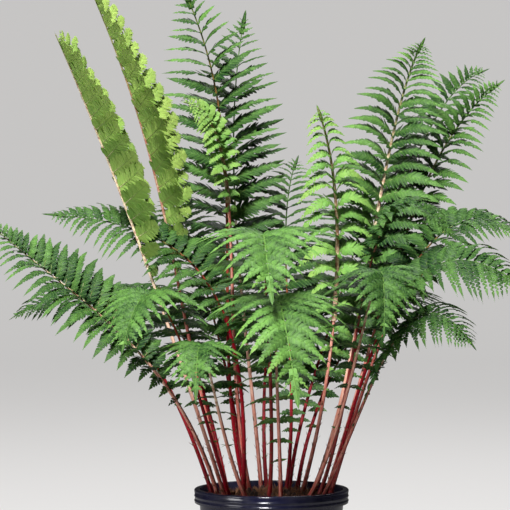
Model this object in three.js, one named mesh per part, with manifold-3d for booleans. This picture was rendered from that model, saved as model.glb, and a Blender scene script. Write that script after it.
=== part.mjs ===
// A potted lady fern with red leaf stalks: fronds that rise from one rhizome clump
// in a round dark plastic pot filled with potting soil.
// Millimetres, +Z up, origin at the centre of the pot's underside.

import * as THREE from "three";
import { mergeVertices } from "three/addons/utils/BufferGeometryUtils.js";
import Module from "manifold-3d";

const wasm = await Module();
wasm.setup();

// Pot
const POT_HEIGHT = 160;
const POT_FOOT_RADIUS = 63.6;
const POT_RIM_RADIUS = 83.5;
const POT_WALL = 2.2;
const POT_FLOOR = 3;
const POT_SIDES = 36;
const SKIRT_DEPTH = 15;
const SKIRT_WALL = 2;
const SKIRT_CHANNEL = 2.2;
const RIM_DEPTH = 3.5;
const FOOT_BEVEL = 3;
const DRAIN_HOLES = 6;
const DRAIN_RADIUS = 5;
const DRAIN_CIRCLE = 42;
const DRAIN_SIDES = 8;

// Soil and rhizome clump
const SOIL_LEVEL = 146.5;
const CLUMP_RADIUS = 67;
const CLUMP_EDGE_LEVEL = 146;
const CLUMP_BOTTOM = 136;
const CLUMP_RISE = 8;
const CLUMP_TAPER = 2;
const CLUMP_SIDES = 22;
const CLUMP_KNOB = 1.5;
const FIT = 0.35;

// Fronds
const STALK_FOOT_LEVEL = 142;
const STALK_RADIUS = 2.4;
const STALK_TOP_RADIUS = 1.6;
const STALK_SIDES = 6;
const STALK_STEPS = 5;
const RIB_RADIUS = 1.4;
const RIB_TIP_RADIUS = 0.5;
const RIB_FLATNESS = 0.85;
const LEAF_HALF_THICKNESS = 0.36;
const END_LEAFLET = 4;
const END_GAP = 0.3;

// A blade's outline: how its pinnae crowd together towards its tip, how far along they
// reach, the share of the span at its foot, the place where it is widest, and how fast
// it narrows from there
const CROWDING = 1.4;
const LAST_PINNA = 0.967;
const LANCE_FOOT = 0.55;
const LANCE_WIDEST = 0.35;
const LANCE_POWER = 2.2;

// A pinna: its angle from the rachis low and high on the blade, how much that angle
// and its lift vary in degrees, how much its length varies, how much of the room
// between its neighbours it fills, and where it is widest
const SPREAD_LOW = 82;
const SPREAD_HIGH = 60;
const SPREAD_VARIES = 5;
const LIFT_VARIES = 6;
const LENGTH_VARIES = 0.16;
const PINNA_FILL = 0.88;
const BULGE_AT = 0.42;

// A pinna shorter than this share of its room doesn't turn to the light, and lifts
// less. The others turn no further down or up than these angles, in radians.
const SLENDER_FROM = 0.8;
const SHORT_LIFT = 0.3;
const TURN_LEAST = -1.2;
const TURN_MOST = 1.9;

// How far a pinna keeps from another frond, and how far apart it is tested
const PINNA_CLEARANCE = 4.6;
const MIDLINE_CLEARANCE = 8;
const SAMPLE_STEP = 3;

// Each frond's midline runs through four points: its foot in the clump, a low
// point a third of the way along, a high point at two thirds, and its tip.
// bare is the share of the length that is stalk, span the longest pinna, pairs
// the number of pinna pairs, leans the azimuth that the blade leans towards in
// degrees, roll how far the blade is rolled about its rachis in degrees, lift how
// far the pinnae rise out of the blade's plane in degrees, droop how far a pinna's
// tip sags as a share of its length, and turn how far the pinnae's faces turn up
// to the light, from 0 to 1.
const FROND_DEFAULTS = { bare: 0.42, span: 62, pairs: 14, roll: 0, lift: 10, droop: 0.25, turn: 0.6 };

function frond(foot, low, high, tip, traits) {
  return { ...FROND_DEFAULTS, foot: [...foot, STALK_FOOT_LEVEL], low, high, tip, ...traits };
}

const FRONDS = [
  // The tallest frond, facing forward, with one behind it and a young one before it
  frond([-25, 25], [-48, 55, 334], [-53, 95, 530], [-102, 90, 718],
    { bare: 0.34, span: 72, pairs: 20, leans: 96, lift: 14, droop: 0.16 }),
  frond([-10, 42], [-28, 85, 322], [-42, 130, 509], [-29, 145, 690],
    { bare: 0.42, span: 64, pairs: 17, leans: 78, lift: 14, droop: 0.14 }),
  frond([-20, 0], [-41, 10, 331], [-50, 15, 499], [-94, -15, 576],
    { bare: 0.6, span: 38, pairs: 13, leans: 150, droop: 0.4 }),
  // Two tall fronds at the left, seen edge on
  frond([-47, -10], [-103, -42, 317], [-163, -50, 485], [-224, -100, 640],
    { bare: 0.5, span: 56, pairs: 17, leans: 180, lift: 38, droop: 0.08, turn: 0.2 }),
  frond([-43, 10], [-93, 20, 338], [-130, 25, 510], [-203, -10, 717],
    { bare: 0.5, span: 56, pairs: 18, leans: 172, lift: 38, droop: 0.08, turn: 0.2 }),
  // Right of the centre: one tall, one with curled pinnae, two at the back
  frond([40, 30], [89, 45, 307], [128, 75, 507], [170, 66, 651],
    { bare: 0.4, span: 70, pairs: 18, leans: 84, lift: 20, droop: 0.32, turn: 0.45 }),
  frond([30, 15], [63, 30, 292], [72, 30, 445], [50, 0, 571],
    { bare: 0.44, span: 46, pairs: 16, leans: 100, droop: 0.55 }),
  frond([56, 20], [112, 60, 318], [174, 100, 491], [262, 106, 608],
    { bare: 0.43, span: 62, pairs: 16, leans: 60, lift: 20, droop: 0.28 }),
  frond([44, 39], [102, 92, 328], [166, 145, 521], [250, 160, 626],
    { bare: 0.46, span: 58, pairs: 14, leans: 60, lift: 20, droop: 0.28 }),
  // Leaning forward, over the rim
  frond([9, -48], [6, -90, 253], [4, -150, 362], [24, -236, 266],
    { bare: 0.38, span: 80, pairs: 14, droop: 0.4 }),
  frond([-4, -28], [-2, -66, 291], [-9, -125, 422], [-1, -215, 366],
    { bare: 0.42, span: 80, pairs: 14, droop: 0.35 }),
  frond([-40, -38], [-75, -85, 261], [-114, -140, 364], [-149, -200, 316],
    { bare: 0.4, span: 68, pairs: 13, droop: 0.4 }),
  frond([31, -40], [78, -85, 269], [105, -140, 386], [109, -210, 333],
    { bare: 0.42, span: 64, pairs: 13, droop: 0.4 }),
  frond([-20, -50], [-52, -98, 236], [-70, -150, 316], [-76, -210, 270],
    { bare: 0.4, span: 50, pairs: 12, droop: 0.4 }),
  // Arching to the right
  frond([46, -12], [86, -30, 305], [120, -50, 444], [193, -60, 428],
    { bare: 0.42, span: 56, pairs: 13, roll: 14, droop: 0.3 }),
  frond([60, 7], [113, 20, 314], [185, 30, 434], [280, 35, 428],
    { bare: 0.4, span: 58, roll: 22, droop: 0.4 }),
  frond([59, -14], [112, -45, 311], [170, -75, 400], [263, -90, 378],
    { bare: 0.39, span: 66, roll: 35, droop: 0.45 }),
  frond([49, -31], [101, -65, 268], [148, -100, 347], [207, -120, 317],
    { bare: 0.39, span: 56, pairs: 13, roll: 20, droop: 0.45 }),
  // Arching to the left
  frond([-54, -26], [-115, -52, 278], [-202, -62, 367], [-300, -57, 447],
    { bare: 0.4, span: 66, pairs: 16, leans: 187, roll: -45, lift: 15, droop: 0.25 }),
  frond([-60, -5], [-122, 35, 284], [-197, 45, 359], [-286, 40, 342],
    { bare: 0.4, span: 64, pairs: 12, roll: -20, droop: 0.3 }),
  frond([-31, -20], [-45, -25, 330], [-115, -8, 425], [-244, -8, 456],
    { bare: 0.4, span: 64, pairs: 15, roll: -35, droop: 0.3 }),
  // In the middle and at the back
  frond([14, 20], [22, 70, 282], [17, 110, 418], [31, 135, 523],
    { bare: 0.34, span: 66, leans: 80, droop: 0.3 }),
  frond([-28, 46], [-50, 100, 280], [-84, 155, 404], [-115, 200, 488],
    { bare: 0.36, span: 66, leans: 110, droop: 0.3 }),
  frond([19, 42], [50, 95, 280], [94, 155, 408], [105, 190, 488],
    { bare: 0.36, span: 66, leans: 75, droop: 0.3 }),
  frond([28, 52], [66, 110, 270], [130, 180, 355], [185, 240, 345],
    { bare: 0.36, span: 66, pairs: 13, droop: 0.35 }),
  frond([-46, 34], [-82, 112, 275], [-130, 170, 360], [-195, 225, 365],
    { bare: 0.36, span: 66, pairs: 13, droop: 0.35 }),
  frond([-4, 59], [-6, 125, 280], [5, 195, 365], [10, 275, 345],
    { bare: 0.36, span: 66, pairs: 13, droop: 0.35 }),
];

// The ways a crowded pinna may give way, in the order they are tried: lifted or
// lowered about the rachis in degrees, then shorter.
const GIVE_ANGLES = [0, 9, -9, 18, -18, 28, -28, 40, -40];
const GIVE_LENGTHS = [1, 0.82, 0.64, 0.46, 0.3];
const GIVE_STEP = 14;
const STUB_LENGTH = 0.16;

const degrees = Math.PI / 180;
const vec = (p) => new THREE.Vector3(...p);
const mix = (a, b, t) => a + (b - a) * t;

// A number from 0 to 1 that is always the same for the same two counts.
function chance(a, b) {
  const wave = Math.sin(a * 12.9898 + b * 78.233) * 43758.5453;
  return wave - Math.floor(wave);
}

// Materials
const LEAF_GREEN = new THREE.MeshStandardMaterial({ color: 0x4c8a3a, roughness: 0.6, metalness: 0 });
const STALK_RED = new THREE.MeshStandardMaterial({ color: 0x8a1d28, roughness: 0.45, metalness: 0 });
const POT_BLACK = new THREE.MeshStandardMaterial({ color: 0x14161c, roughness: 0.25, metalness: 0 });
const SOIL_BROWN = new THREE.MeshStandardMaterial({ color: 0x2e2018, roughness: 0.95, metalness: 0 });
const CLUMP_BROWN = new THREE.MeshStandardMaterial({ color: 0x4a2e1c, roughness: 0.9, metalness: 0 });

function named(name, geometry, material) {
  const mesh = new THREE.Mesh(geometry, material);
  mesh.name = name;
  return mesh;
}

// Solids
function solidOf(geometry) {
  const bare = geometry.clone();
  bare.deleteAttribute("normal");
  bare.deleteAttribute("uv");
  const merged = mergeVertices(bare, 1e-4);
  return new wasm.Manifold(
    new wasm.Mesh({
      numProp: 3,
      vertProperties: merged.attributes.position.array,
      triVerts: new Uint32Array(merged.index.array),
    }),
  );
}

function geometryOf(solid) {
  const made = solid.getMesh();
  return new THREE.BufferGeometry()
    .setAttribute("position", new THREE.BufferAttribute(made.vertProperties, 3))
    .setIndex(new THREE.BufferAttribute(made.triVerts, 1));
}

function cut(geometry, cutters) {
  return geometryOf(cutters.reduce((left, tool) => left.subtract(solidOf(tool)), solidOf(geometry)));
}

// A profile of [radius, height] turned about the Z axis.
function turned(profile, sides) {
  const points = profile.map(([r, z]) => new THREE.Vector2(r, z));
  return new THREE.LatheGeometry(points, sides).rotateX(Math.PI / 2);
}

// Midlines: the cubic through four points at t = 0, 1/3, 2/3 and 1.
function pointOn(row, t) {
  const weights = [
    ((1 - 3 * t) * (2 - 3 * t) * (1 - t)) / 2,
    (9 * t * (2 - 3 * t) * (1 - t)) / 2,
    (9 * t * (3 * t - 1) * (1 - t)) / 2,
    (t * (3 * t - 1) * (3 * t - 2)) / 2,
  ];
  const at = new THREE.Vector3();
  [row.foot, row.low, row.high, row.tip].forEach((p, i) => at.addScaledVector(vec(p), weights[i]));
  return at;
}

// At t, along points to the tip, across is the left of the upper face, and face
// is the upper face's outward normal.
function frameOn(row, t) {
  const step = 1e-4;
  const along = pointOn(row, t + step).sub(pointOn(row, t - step)).normalize();
  const azimuth = row.leans === undefined
    ? Math.atan2(row.tip[1] - row.foot[1], row.tip[0] - row.foot[0])
    : row.leans * degrees;
  const across = new THREE.Vector3(-Math.sin(azimuth), Math.cos(azimuth), 0);
  across.addScaledVector(along, -across.dot(along)).normalize();
  across.applyAxisAngle(along, row.roll * degrees);
  const face = new THREE.Vector3().crossVectors(along, across);
  return { at: pointOn(row, t), along, across, face };
}

// A blade's places run from 0 at its first pinna to 1 at its tip. The pinnae crowd
// together towards the tip.
function bladePlace(share) {
  return LAST_PINNA * (1 - (1 - share) ** CROWDING);
}

function bladeT(row, place) {
  return mix(row.bare, 1, place);
}

// A lance shape: 1 where the blade is widest, 0 at its tip.
function lance(place) {
  const rise = mix(LANCE_FOOT, 1, Math.sin((Math.PI / 2) * Math.min(place / LANCE_WIDEST, 1)));
  return rise * (1 - Math.max(0, (place - LANCE_WIDEST) / (1 - LANCE_WIDEST)) ** LANCE_POWER);
}

// One pinna, with the way it gives: where it starts, its direction, its chord
// towards the frond's tip, its upper face's normal, its length and its width.
// The chord is the rachis's own direction, turned about the pinna with its face.
function pinna(row, number, index, side, give) {
  const place = bladePlace((index + 0.5) / row.pairs);
  const { at, along, across, face } = frameOn(row, bladeT(row, place));
  const seed = index * 2 + (side + 1) / 2;
  const vary = (kind) => chance(number + kind, seed) - 0.5;
  const spread = (mix(SPREAD_LOW, SPREAD_HIGH, place) + SPREAD_VARIES * vary(0)) * degrees;
  const room = pointOn(row, bladeT(row, bladePlace((index + 1) / row.pairs)))
    .distanceTo(pointOn(row, bladeT(row, bladePlace(index / row.pairs))));
  const length = row.span * lance(place) * (1 + LENGTH_VARIES * vary(90)) * give.length;
  const slender = THREE.MathUtils.clamp(length / room - SLENDER_FROM, 0, 1);
  const lift = (row.lift * mix(SHORT_LIFT, 1, slender) + give.angle + LIFT_VARIES * vary(50)) * degrees;
  const outward = across.clone().multiplyScalar(side * Math.cos(lift))
    .addScaledVector(face, Math.sin(lift));
  const direction = along.clone().multiplyScalar(Math.cos(spread))
    .addScaledVector(outward, Math.sin(spread));
  const flat = face.clone().addScaledVector(direction, -face.dot(direction)).normalize();
  const tipward = new THREE.Vector3().crossVectors(direction, flat).multiplyScalar(side);
  const toLight = Math.atan2(tipward.z, flat.z);
  const turn = slender * row.turn * THREE.MathUtils.clamp(toLight, TURN_LEAST, TURN_MOST);
  return {
    at,
    direction,
    chord: along.clone().applyAxisAngle(direction, side * turn),
    face: flat.clone().applyAxisAngle(direction, side * turn),
    length,
    width: PINNA_FILL * room,
    droop: row.droop,
  };
}

// The pinna's midrib at u from 0 at the rachis to 1 at its tip.
function midrib(shape, u) {
  const at = shape.at.clone().addScaledVector(shape.direction, shape.length * u);
  at.z -= shape.droop * shape.length * u * u;
  return at;
}

// The pinna's three free corners: below, tip and above, each a point of the middle surface.
function corners(shape) {
  const middle = midrib(shape, BULGE_AT);
  return {
    below: middle.clone().addScaledVector(shape.chord, -shape.width / 2),
    tip: midrib(shape, 1),
    above: middle.clone().addScaledVector(shape.chord, shape.width / 2),
  };
}

// Clearance between fronds: a grid of cells that holds sample points.
const CELL = 8;
const cells = new Map();
const cellOf = (point) => [point.x, point.y, point.z].map((v) => Math.floor(v / CELL));

function remember(point, owner, reach) {
  const key = cellOf(point).join();
  if (!cells.has(key)) cells.set(key, []);
  cells.get(key).push({ point, owner, reach });
}

function isClear(point, owner) {
  const [x, y, z] = cellOf(point);
  for (let i = x - 1; i <= x + 1; i++)
    for (let j = y - 1; j <= y + 1; j++)
      for (let k = z - 1; k <= z + 1; k++)
        for (const other of cells.get([i, j, k].join()) ?? [])
          if (other.owner !== owner && other.point.distanceTo(point) < other.reach) return false;
  return true;
}

function triangleSamples(a, b, c) {
  const longest = Math.max(a.distanceTo(b), b.distanceTo(c), c.distanceTo(a));
  const steps = Math.max(1, Math.ceil(longest / SAMPLE_STEP));
  const samples = [];
  for (let i = 0; i <= steps; i++)
    for (let j = 0; j <= steps - i; j++)
      samples.push(
        a.clone().multiplyScalar((steps - i - j) / steps)
          .addScaledVector(b, i / steps)
          .addScaledVector(c, j / steps),
      );
  return samples;
}

function pinnaSamples(shape) {
  const { below, tip, above } = corners(shape);
  const root = midrib(shape, 0);
  return [...triangleSamples(root, below, above), ...triangleSamples(below, tip, above)];
}

function rememberMidlines() {
  FRONDS.forEach((row, number) => {
    const steps = Math.ceil((1.5 * pointOn(row, 0).distanceTo(pointOn(row, 1))) / SAMPLE_STEP);
    for (let i = 0; i <= steps; i++) remember(pointOn(row, i / steps), number, MIDLINE_CLEARANCE);
  });
}

// Every pinna of a frond, each with the first way of giving that keeps it clear of
// the other fronds and lies near enough to the way that the one before it gave.
function settle(row, number) {
  const gives = GIVE_LENGTHS.flatMap((length) => GIVE_ANGLES.map((angle) => ({ angle, length })));
  const settled = [];
  for (const side of [1, -1]) {
    let before = 0;
    for (let index = 0; index < row.pairs; index++) {
      const give = gives.find((way) =>
        Math.abs(way.angle - before) <= GIVE_STEP &&
        pinnaSamples(pinna(row, number, index, side, way)).every((p) => isClear(p, number)),
      ) ?? { angle: before, length: STUB_LENGTH };
      const shape = pinna(row, number, index, side, give);
      pinnaSamples(shape).forEach((p) => remember(p, number, PINNA_CLEARANCE));
      settled.push({ index, side, shape, give });
      before = give.angle;
    }
  }
  return settled;
}

// A closed mesh gathered corner by corner, each corner a top and a bottom point.
class ThinBlade {
  constructor() {
    this.positions = [];
    this.faces = [];
  }

  corner(middle, offset) {
    const number = this.positions.length / 3;
    const top = middle.clone().add(offset);
    const bottom = middle.clone().sub(offset);
    this.positions.push(top.x, top.y, top.z, bottom.x, bottom.y, bottom.z);
    return number;
  }

  // The same triangle on both faces; a, b and c run anticlockwise seen from the upper face.
  face(a, b, c) {
    this.faces.push(a, b, c, c + 1, b + 1, a + 1);
  }

  // The edge wall from a to b, with the blade on its left.
  wall(a, b) {
    this.faces.push(a + 1, b + 1, b, a + 1, b, a);
  }

  geometry() {
    return new THREE.BufferGeometry()
      .setAttribute("position", new THREE.Float32BufferAttribute(this.positions, 3))
      .setIndex(this.faces);
  }
}

// The rachis's pair of edge corners at a notch between two pinna pairs.
function notch(blade, row, share) {
  const place = bladePlace(share);
  const { at, across, face } = frameOn(row, bladeT(row, place));
  const radius = mix(RIB_RADIUS, RIB_TIP_RADIUS, place);
  const up = face.clone().multiplyScalar(Math.max(RIB_FLATNESS * radius, LEAF_HALF_THICKNESS));
  return {
    left: blade.corner(at.clone().addScaledVector(across, radius), up),
    right: blade.corner(at.clone().addScaledVector(across, -radius), up),
  };
}

function bladeGeometry(row, settled) {
  const blade = new ThinBlade();
  const notches = [];
  for (let j = 0; j <= row.pairs; j++) notches.push(notch(blade, row, j / row.pairs));
  blade.wall(notches[0].left, notches[0].right);
  for (let j = 0; j < row.pairs; j++) {
    const [here, next] = [notches[j], notches[j + 1]];
    blade.face(here.right, next.right, here.left);
    blade.face(next.right, next.left, here.left);
  }
  for (const { index, side, shape } of settled) {
    const thick = shape.face.clone().multiplyScalar(LEAF_HALF_THICKNESS);
    const free = corners(shape);
    const below = blade.corner(free.below, thick);
    const tip = blade.corner(free.tip, thick);
    const above = blade.corner(free.above, thick);
    if (side > 0) {
      const [low, high] = [notches[index].left, notches[index + 1].left];
      blade.face(low, high, above);
      blade.face(low, above, below);
      blade.face(below, above, tip);
      blade.wall(high, above);
      blade.wall(above, tip);
      blade.wall(tip, below);
      blade.wall(below, low);
    } else {
      const [low, high] = [notches[index].right, notches[index + 1].right];
      blade.face(low, above, high);
      blade.face(low, below, above);
      blade.face(below, tip, above);
      blade.wall(low, below);
      blade.wall(below, tip);
      blade.wall(tip, above);
      blade.wall(above, high);
    }
  }
  const end = frameOn(row, 1);
  const last = notches[row.pairs];
  const point = blade.corner(
    end.at.clone().addScaledVector(end.along, END_LEAFLET),
    end.face.clone().multiplyScalar(LEAF_HALF_THICKNESS),
  );
  blade.face(last.right, point, last.left);
  blade.wall(last.right, point);
  blade.wall(point, last.left);
  return blade.geometry();
}

// A closed round bar through centres with given radii and frames.
function bar(rings) {
  const positions = [];
  const faces = [];
  for (const { at, across, face, radius } of rings)
    for (let i = 0; i < STALK_SIDES; i++) {
      const angle = (2 * Math.PI * i) / STALK_SIDES;
      const p = at.clone()
        .addScaledVector(across, radius * Math.cos(angle))
        .addScaledVector(face, radius * Math.sin(angle));
      positions.push(p.x, p.y, p.z);
    }
  for (let r = 0; r + 1 < rings.length; r++)
    for (let i = 0; i < STALK_SIDES; i++) {
      const [a, b] = [r * STALK_SIDES + i, r * STALK_SIDES + ((i + 1) % STALK_SIDES)];
      const [c, d] = [a + STALK_SIDES, b + STALK_SIDES];
      faces.push(a, b, d, a, d, c);
    }
  const top = (rings.length - 1) * STALK_SIDES;
  for (let i = 1; i + 1 < STALK_SIDES; i++) {
    faces.push(0, i + 1, i);
    faces.push(top, top + i, top + i + 1);
  }
  return new THREE.BufferGeometry()
    .setAttribute("position", new THREE.Float32BufferAttribute(positions, 3))
    .setIndex(faces);
}

// A stalk's rings, from its foot to just short of its blade.
function stalkRings(row) {
  const speed = pointOn(row, row.bare + 1e-3).distanceTo(pointOn(row, row.bare)) / 1e-3;
  const end = row.bare - END_GAP / speed;
  const rings = [];
  for (let i = 0; i <= STALK_STEPS; i++) {
    const share = i / STALK_STEPS;
    rings.push({ ...frameOn(row, end * share), radius: mix(STALK_RADIUS, STALK_TOP_RADIUS, share) });
  }
  return rings;
}

// The plain hole that a stalk stands in: its lowest stretch, wider by the fit and
// begun a little under its foot.
function socket(row) {
  const [foot, next] = stalkRings(row);
  const under = foot.at.clone().addScaledVector(foot.along, -FIT);
  return bar([
    { ...foot, at: under, radius: foot.radius + FIT },
    { ...foot, radius: foot.radius + FIT },
    { ...next, radius: next.radius + FIT },
  ]);
}

const INNER_FOOT = POT_FOOT_RADIUS - POT_WALL;
const INNER_TOP = POT_RIM_RADIUS - SKIRT_WALL - SKIRT_CHANNEL - POT_WALL;

// The pot's inner radius at a height.
function potInside(height) {
  return mix(INNER_FOOT, INNER_TOP, (height - POT_FLOOR) / (POT_HEIGHT - POT_FLOOR));
}

// A tapered wall and a floor with drain holes, and a rim that turns out and down
// into a skirt with a channel behind it.
function potGeometry() {
  const skirtBottom = POT_HEIGHT - SKIRT_DEPTH;
  const channelTop = POT_HEIGHT - RIM_DEPTH;
  const body = turned(
    [
      [0, 0],
      [POT_FOOT_RADIUS - FOOT_BEVEL, 0],
      [POT_FOOT_RADIUS, FOOT_BEVEL],
      [potInside(skirtBottom) + POT_WALL, skirtBottom],
      [potInside(channelTop) + POT_WALL, channelTop],
      [POT_RIM_RADIUS - SKIRT_WALL, channelTop],
      [POT_RIM_RADIUS - SKIRT_WALL, skirtBottom],
      [POT_RIM_RADIUS - 0.4, skirtBottom],
      [POT_RIM_RADIUS, POT_HEIGHT - 2],
      [POT_RIM_RADIUS - 1.6, POT_HEIGHT],
      [INNER_TOP + 1.2, POT_HEIGHT],
      [potInside(POT_HEIGHT - 1.5), POT_HEIGHT - 1.5],
      [INNER_FOOT, POT_FLOOR],
      [0, POT_FLOOR],
    ],
    POT_SIDES,
  );
  const drains = [];
  for (let i = 0; i < DRAIN_HOLES; i++) {
    const angle = (2 * Math.PI * i) / DRAIN_HOLES;
    drains.push(
      new THREE.CylinderGeometry(DRAIN_RADIUS, DRAIN_RADIUS, 3 * POT_FLOOR, DRAIN_SIDES)
        .rotateX(Math.PI / 2)
        .translate(DRAIN_CIRCLE * Math.cos(angle), DRAIN_CIRCLE * Math.sin(angle), POT_FLOOR / 2),
    );
  }
  return cut(body, drains);
}

// The fill, with a round recess for the clump.
function soilGeometry() {
  const edge = SOIL_LEVEL - 1.5;
  return turned(
    [
      [0, POT_FLOOR + FIT],
      [INNER_FOOT - 2 * FIT, POT_FLOOR + FIT],
      [potInside(edge) - 2 * FIT, edge],
      [(potInside(SOIL_LEVEL) + CLUMP_RADIUS) / 2, SOIL_LEVEL],
      [CLUMP_RADIUS + 2 * FIT, CLUMP_EDGE_LEVEL - 1],
      [CLUMP_RADIUS + FIT - CLUMP_TAPER, CLUMP_BOTTOM - FIT],
      [0, CLUMP_BOTTOM - FIT],
    ],
    POT_SIDES,
  );
}

// Two crossing waves, 35 mm and 15 to 20 mm long.
function knobs(x, y) {
  return Math.sin(x * 0.17 + 0.6) * Math.sin(y * 0.19 - 0.4) + 0.6 * Math.sin(x * 0.31 - y * 0.27);
}

// The clump: a low mound, knobbly on top, with a hole for each stalk.
function clumpGeometry() {
  const mound = turned(
    [
      [0, CLUMP_BOTTOM],
      [CLUMP_RADIUS - CLUMP_TAPER, CLUMP_BOTTOM],
      [CLUMP_RADIUS, CLUMP_EDGE_LEVEL],
      [CLUMP_RADIUS * 0.84, CLUMP_EDGE_LEVEL + CLUMP_RISE * 0.45],
      [CLUMP_RADIUS * 0.6, CLUMP_EDGE_LEVEL + CLUMP_RISE * 0.8],
      [CLUMP_RADIUS * 0.3, CLUMP_EDGE_LEVEL + CLUMP_RISE],
      [0, CLUMP_EDGE_LEVEL + CLUMP_RISE],
    ],
    CLUMP_SIDES,
  );
  const at = mound.attributes.position;
  for (let i = 0; i < at.count; i++) {
    const [x, y, z] = [at.getX(i), at.getY(i), at.getZ(i)];
    if (z > CLUMP_EDGE_LEVEL + 1) at.setZ(i, z + CLUMP_KNOB * knobs(x, y));
  }
  return cut(mound, FRONDS.map(socket));
}

const fern = new THREE.Group();
fern.add(named("pot", potGeometry(), POT_BLACK));
fern.add(named("soil", soilGeometry(), SOIL_BROWN));
fern.add(named("rhizome_clump", clumpGeometry(), CLUMP_BROWN));

rememberMidlines();
FRONDS.forEach((row, number) => {
  const name = `frond_${String(number + 1).padStart(2, "0")}`;
  fern.add(named(`${name}_stipe`, bar(stalkRings(row)), STALK_RED));
  fern.add(named(`${name}_blade`, bladeGeometry(row, settle(row, number)), LEAF_GREEN));
});

export default fern;
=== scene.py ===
"""A potted lady fern with red stalks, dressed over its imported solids.

Every frond follows the driving points and rules of its solid: a cubic midline, pinnae in
pairs, and a tapering midrib in each pinna. Here the pinnae carry their toothed pinnules,
the stalks their grooves and papery scales, and the pot its beads. Shapes are worked out in
millimetres and put into the meshes in metres.
"""

import math

import bpy
import numpy as np
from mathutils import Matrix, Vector


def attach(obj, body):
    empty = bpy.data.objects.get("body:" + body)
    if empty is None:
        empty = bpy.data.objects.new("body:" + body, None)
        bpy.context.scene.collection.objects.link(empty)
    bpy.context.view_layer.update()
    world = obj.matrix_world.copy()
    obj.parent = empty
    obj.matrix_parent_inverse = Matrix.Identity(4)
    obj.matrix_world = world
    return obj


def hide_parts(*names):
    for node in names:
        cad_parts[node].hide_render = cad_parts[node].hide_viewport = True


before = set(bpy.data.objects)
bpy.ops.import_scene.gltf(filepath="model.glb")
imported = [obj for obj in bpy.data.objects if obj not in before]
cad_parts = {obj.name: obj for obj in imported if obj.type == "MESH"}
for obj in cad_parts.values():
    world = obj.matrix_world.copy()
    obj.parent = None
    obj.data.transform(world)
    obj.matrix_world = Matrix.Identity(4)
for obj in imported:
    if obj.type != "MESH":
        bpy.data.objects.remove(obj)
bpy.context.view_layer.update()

bl_info = {
    "name": "Potted Lady Fern",
    "version": (1, 0, 0),
    "blender": (4, 5, 0),
    "location": "3D View > Sidebar > Fern",
    "description": "Builds a lady fern with red stalks in a dark nursery pot",
    "category": "Add Mesh",
}

MM = 0.001
UP = np.array([0.0, 0.0, 1.0])

# The pot, in millimetres, as the solid part has it
POT_HEIGHT = 160.0
POT_FOOT_RADIUS = 63.6
POT_RIM_RADIUS = 83.5
POT_WALL = 2.2
POT_FLOOR = 3.0
SKIRT_DEPTH = 15.0
SKIRT_WALL = 2.0
SKIRT_CHANNEL = 2.2
RIM_DEPTH = 3.5
FOOT_BEVEL = 3.0
DRAIN_HOLES = 6
DRAIN_RADIUS = 5.0
DRAIN_CIRCLE = 42.0
INNER_FOOT = POT_FOOT_RADIUS - POT_WALL
INNER_TOP = POT_RIM_RADIUS - SKIRT_WALL - SKIRT_CHANNEL - POT_WALL

# The pot's finish: the radii of its rounded edges, and how far each bead's middle stands
# above the skirt's lower edge
RIM_ROUND = 1.9
LIP_ROUND = 1.0
SKIRT_EDGE_ROUND = 0.8
FLOOR_ROUND = 2.0
POT_BEADS = (2.6, 7.6)
WALL_LEVELS = (40, 80, 120)
DRAIN_SECTIONS = 32

# The soil and the clump, as the solid part has them
SOIL_LEVEL = 146.5
CLUMP_RADIUS = 67.0
CLUMP_EDGE_LEVEL = 146.0
CLUMP_BOTTOM = 136.0
CLUMP_RISE = 8.0
CLUMP_TAPER = 2.0
KNOB_HEIGHT = 1.5
KNOBS_FROM_EDGE = 8
FIT = 0.35

# Their finish. The open soil's crest stands above its edges, and is crumbled down to the
# drop below its level. Pairs are the least and the most that a size is drawn between.
OPEN_RINGS = 9
SOIL_SECTIONS = 220
SOIL_CREST = 0.8
SOIL_EDGE_DROP = 1.5
CLUMP_RINGS = 60
CLUMP_SECTIONS = 200
CHIPS_OFF_CLUMP = 2
CHIPS_OFF_POT = 3
CHIPS_SUNK = 0.2
CHIP_SIZE = 1.6
CHIP_SHAPE = (1.0, 0.55, 0.25)
CHIP_SIZES_VARY = (0.6, 1.4)
CHIP_CORNERS_VARY = (0.6, 1.0)
CHIP_TILT = 0.35
STUBS_REACH = (0.02, 0.85)
STUBS_SUNK = 3
STUB_LENGTHS = (6, 12)
STUB_RADII = (1.8, 2.8)
STUB_STATIONS = np.array([0.0, 0.4, 0.8, 1.0])
STUB_TAPER = np.array([1.25, 1.0, 0.9, 0.55])
STUB_SECTIONS = 9
CROWN_SCALES_REACH = (0, 0.95)
CROWN_SCALES_SUNK = 0.5
CROWN_SCALE_LENGTHS = (5, 10)
CROWN_SCALE_WIDTHS = (1.2, 2.2)
CROWN_SCALE_SAGS = (0, 0.3)
CROWN_SCALE_THICK = 0.12

# The fronds, as the solid part has them
STALK_FOOT_LEVEL = 142.0
STALK_RADIUS = 2.4
STALK_TOP_RADIUS = 1.6
RIB_RADIUS = 1.4
RIB_TIP_RADIUS = 0.5
END_LEAFLET = 4.0
CROWDING = 1.4
LAST_PINNA = 0.967
LANCE_FOOT = 0.55
LANCE_WIDEST = 0.35
LANCE_POWER = 2.2
SPREAD_LOW = 82.0
SPREAD_HIGH = 60.0
SPREAD_VARIES = 5.0
LIFT_VARIES = 6.0
LENGTH_VARIES = 0.16
PINNA_FILL = 0.88
BULGE_AT = 0.42
SLENDER_FROM = 0.8
SHORT_LIFT = 0.3
TURN_LEAST = -1.2
TURN_MOST = 1.9
GIVE_ANGLES = (0, 9, -9, 18, -18, 28, -28, 40, -40)
GIVE_LENGTHS = (1, 0.82, 0.64, 0.46, 0.3, 0.16)
SOLID_MISS = 2.0

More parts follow.
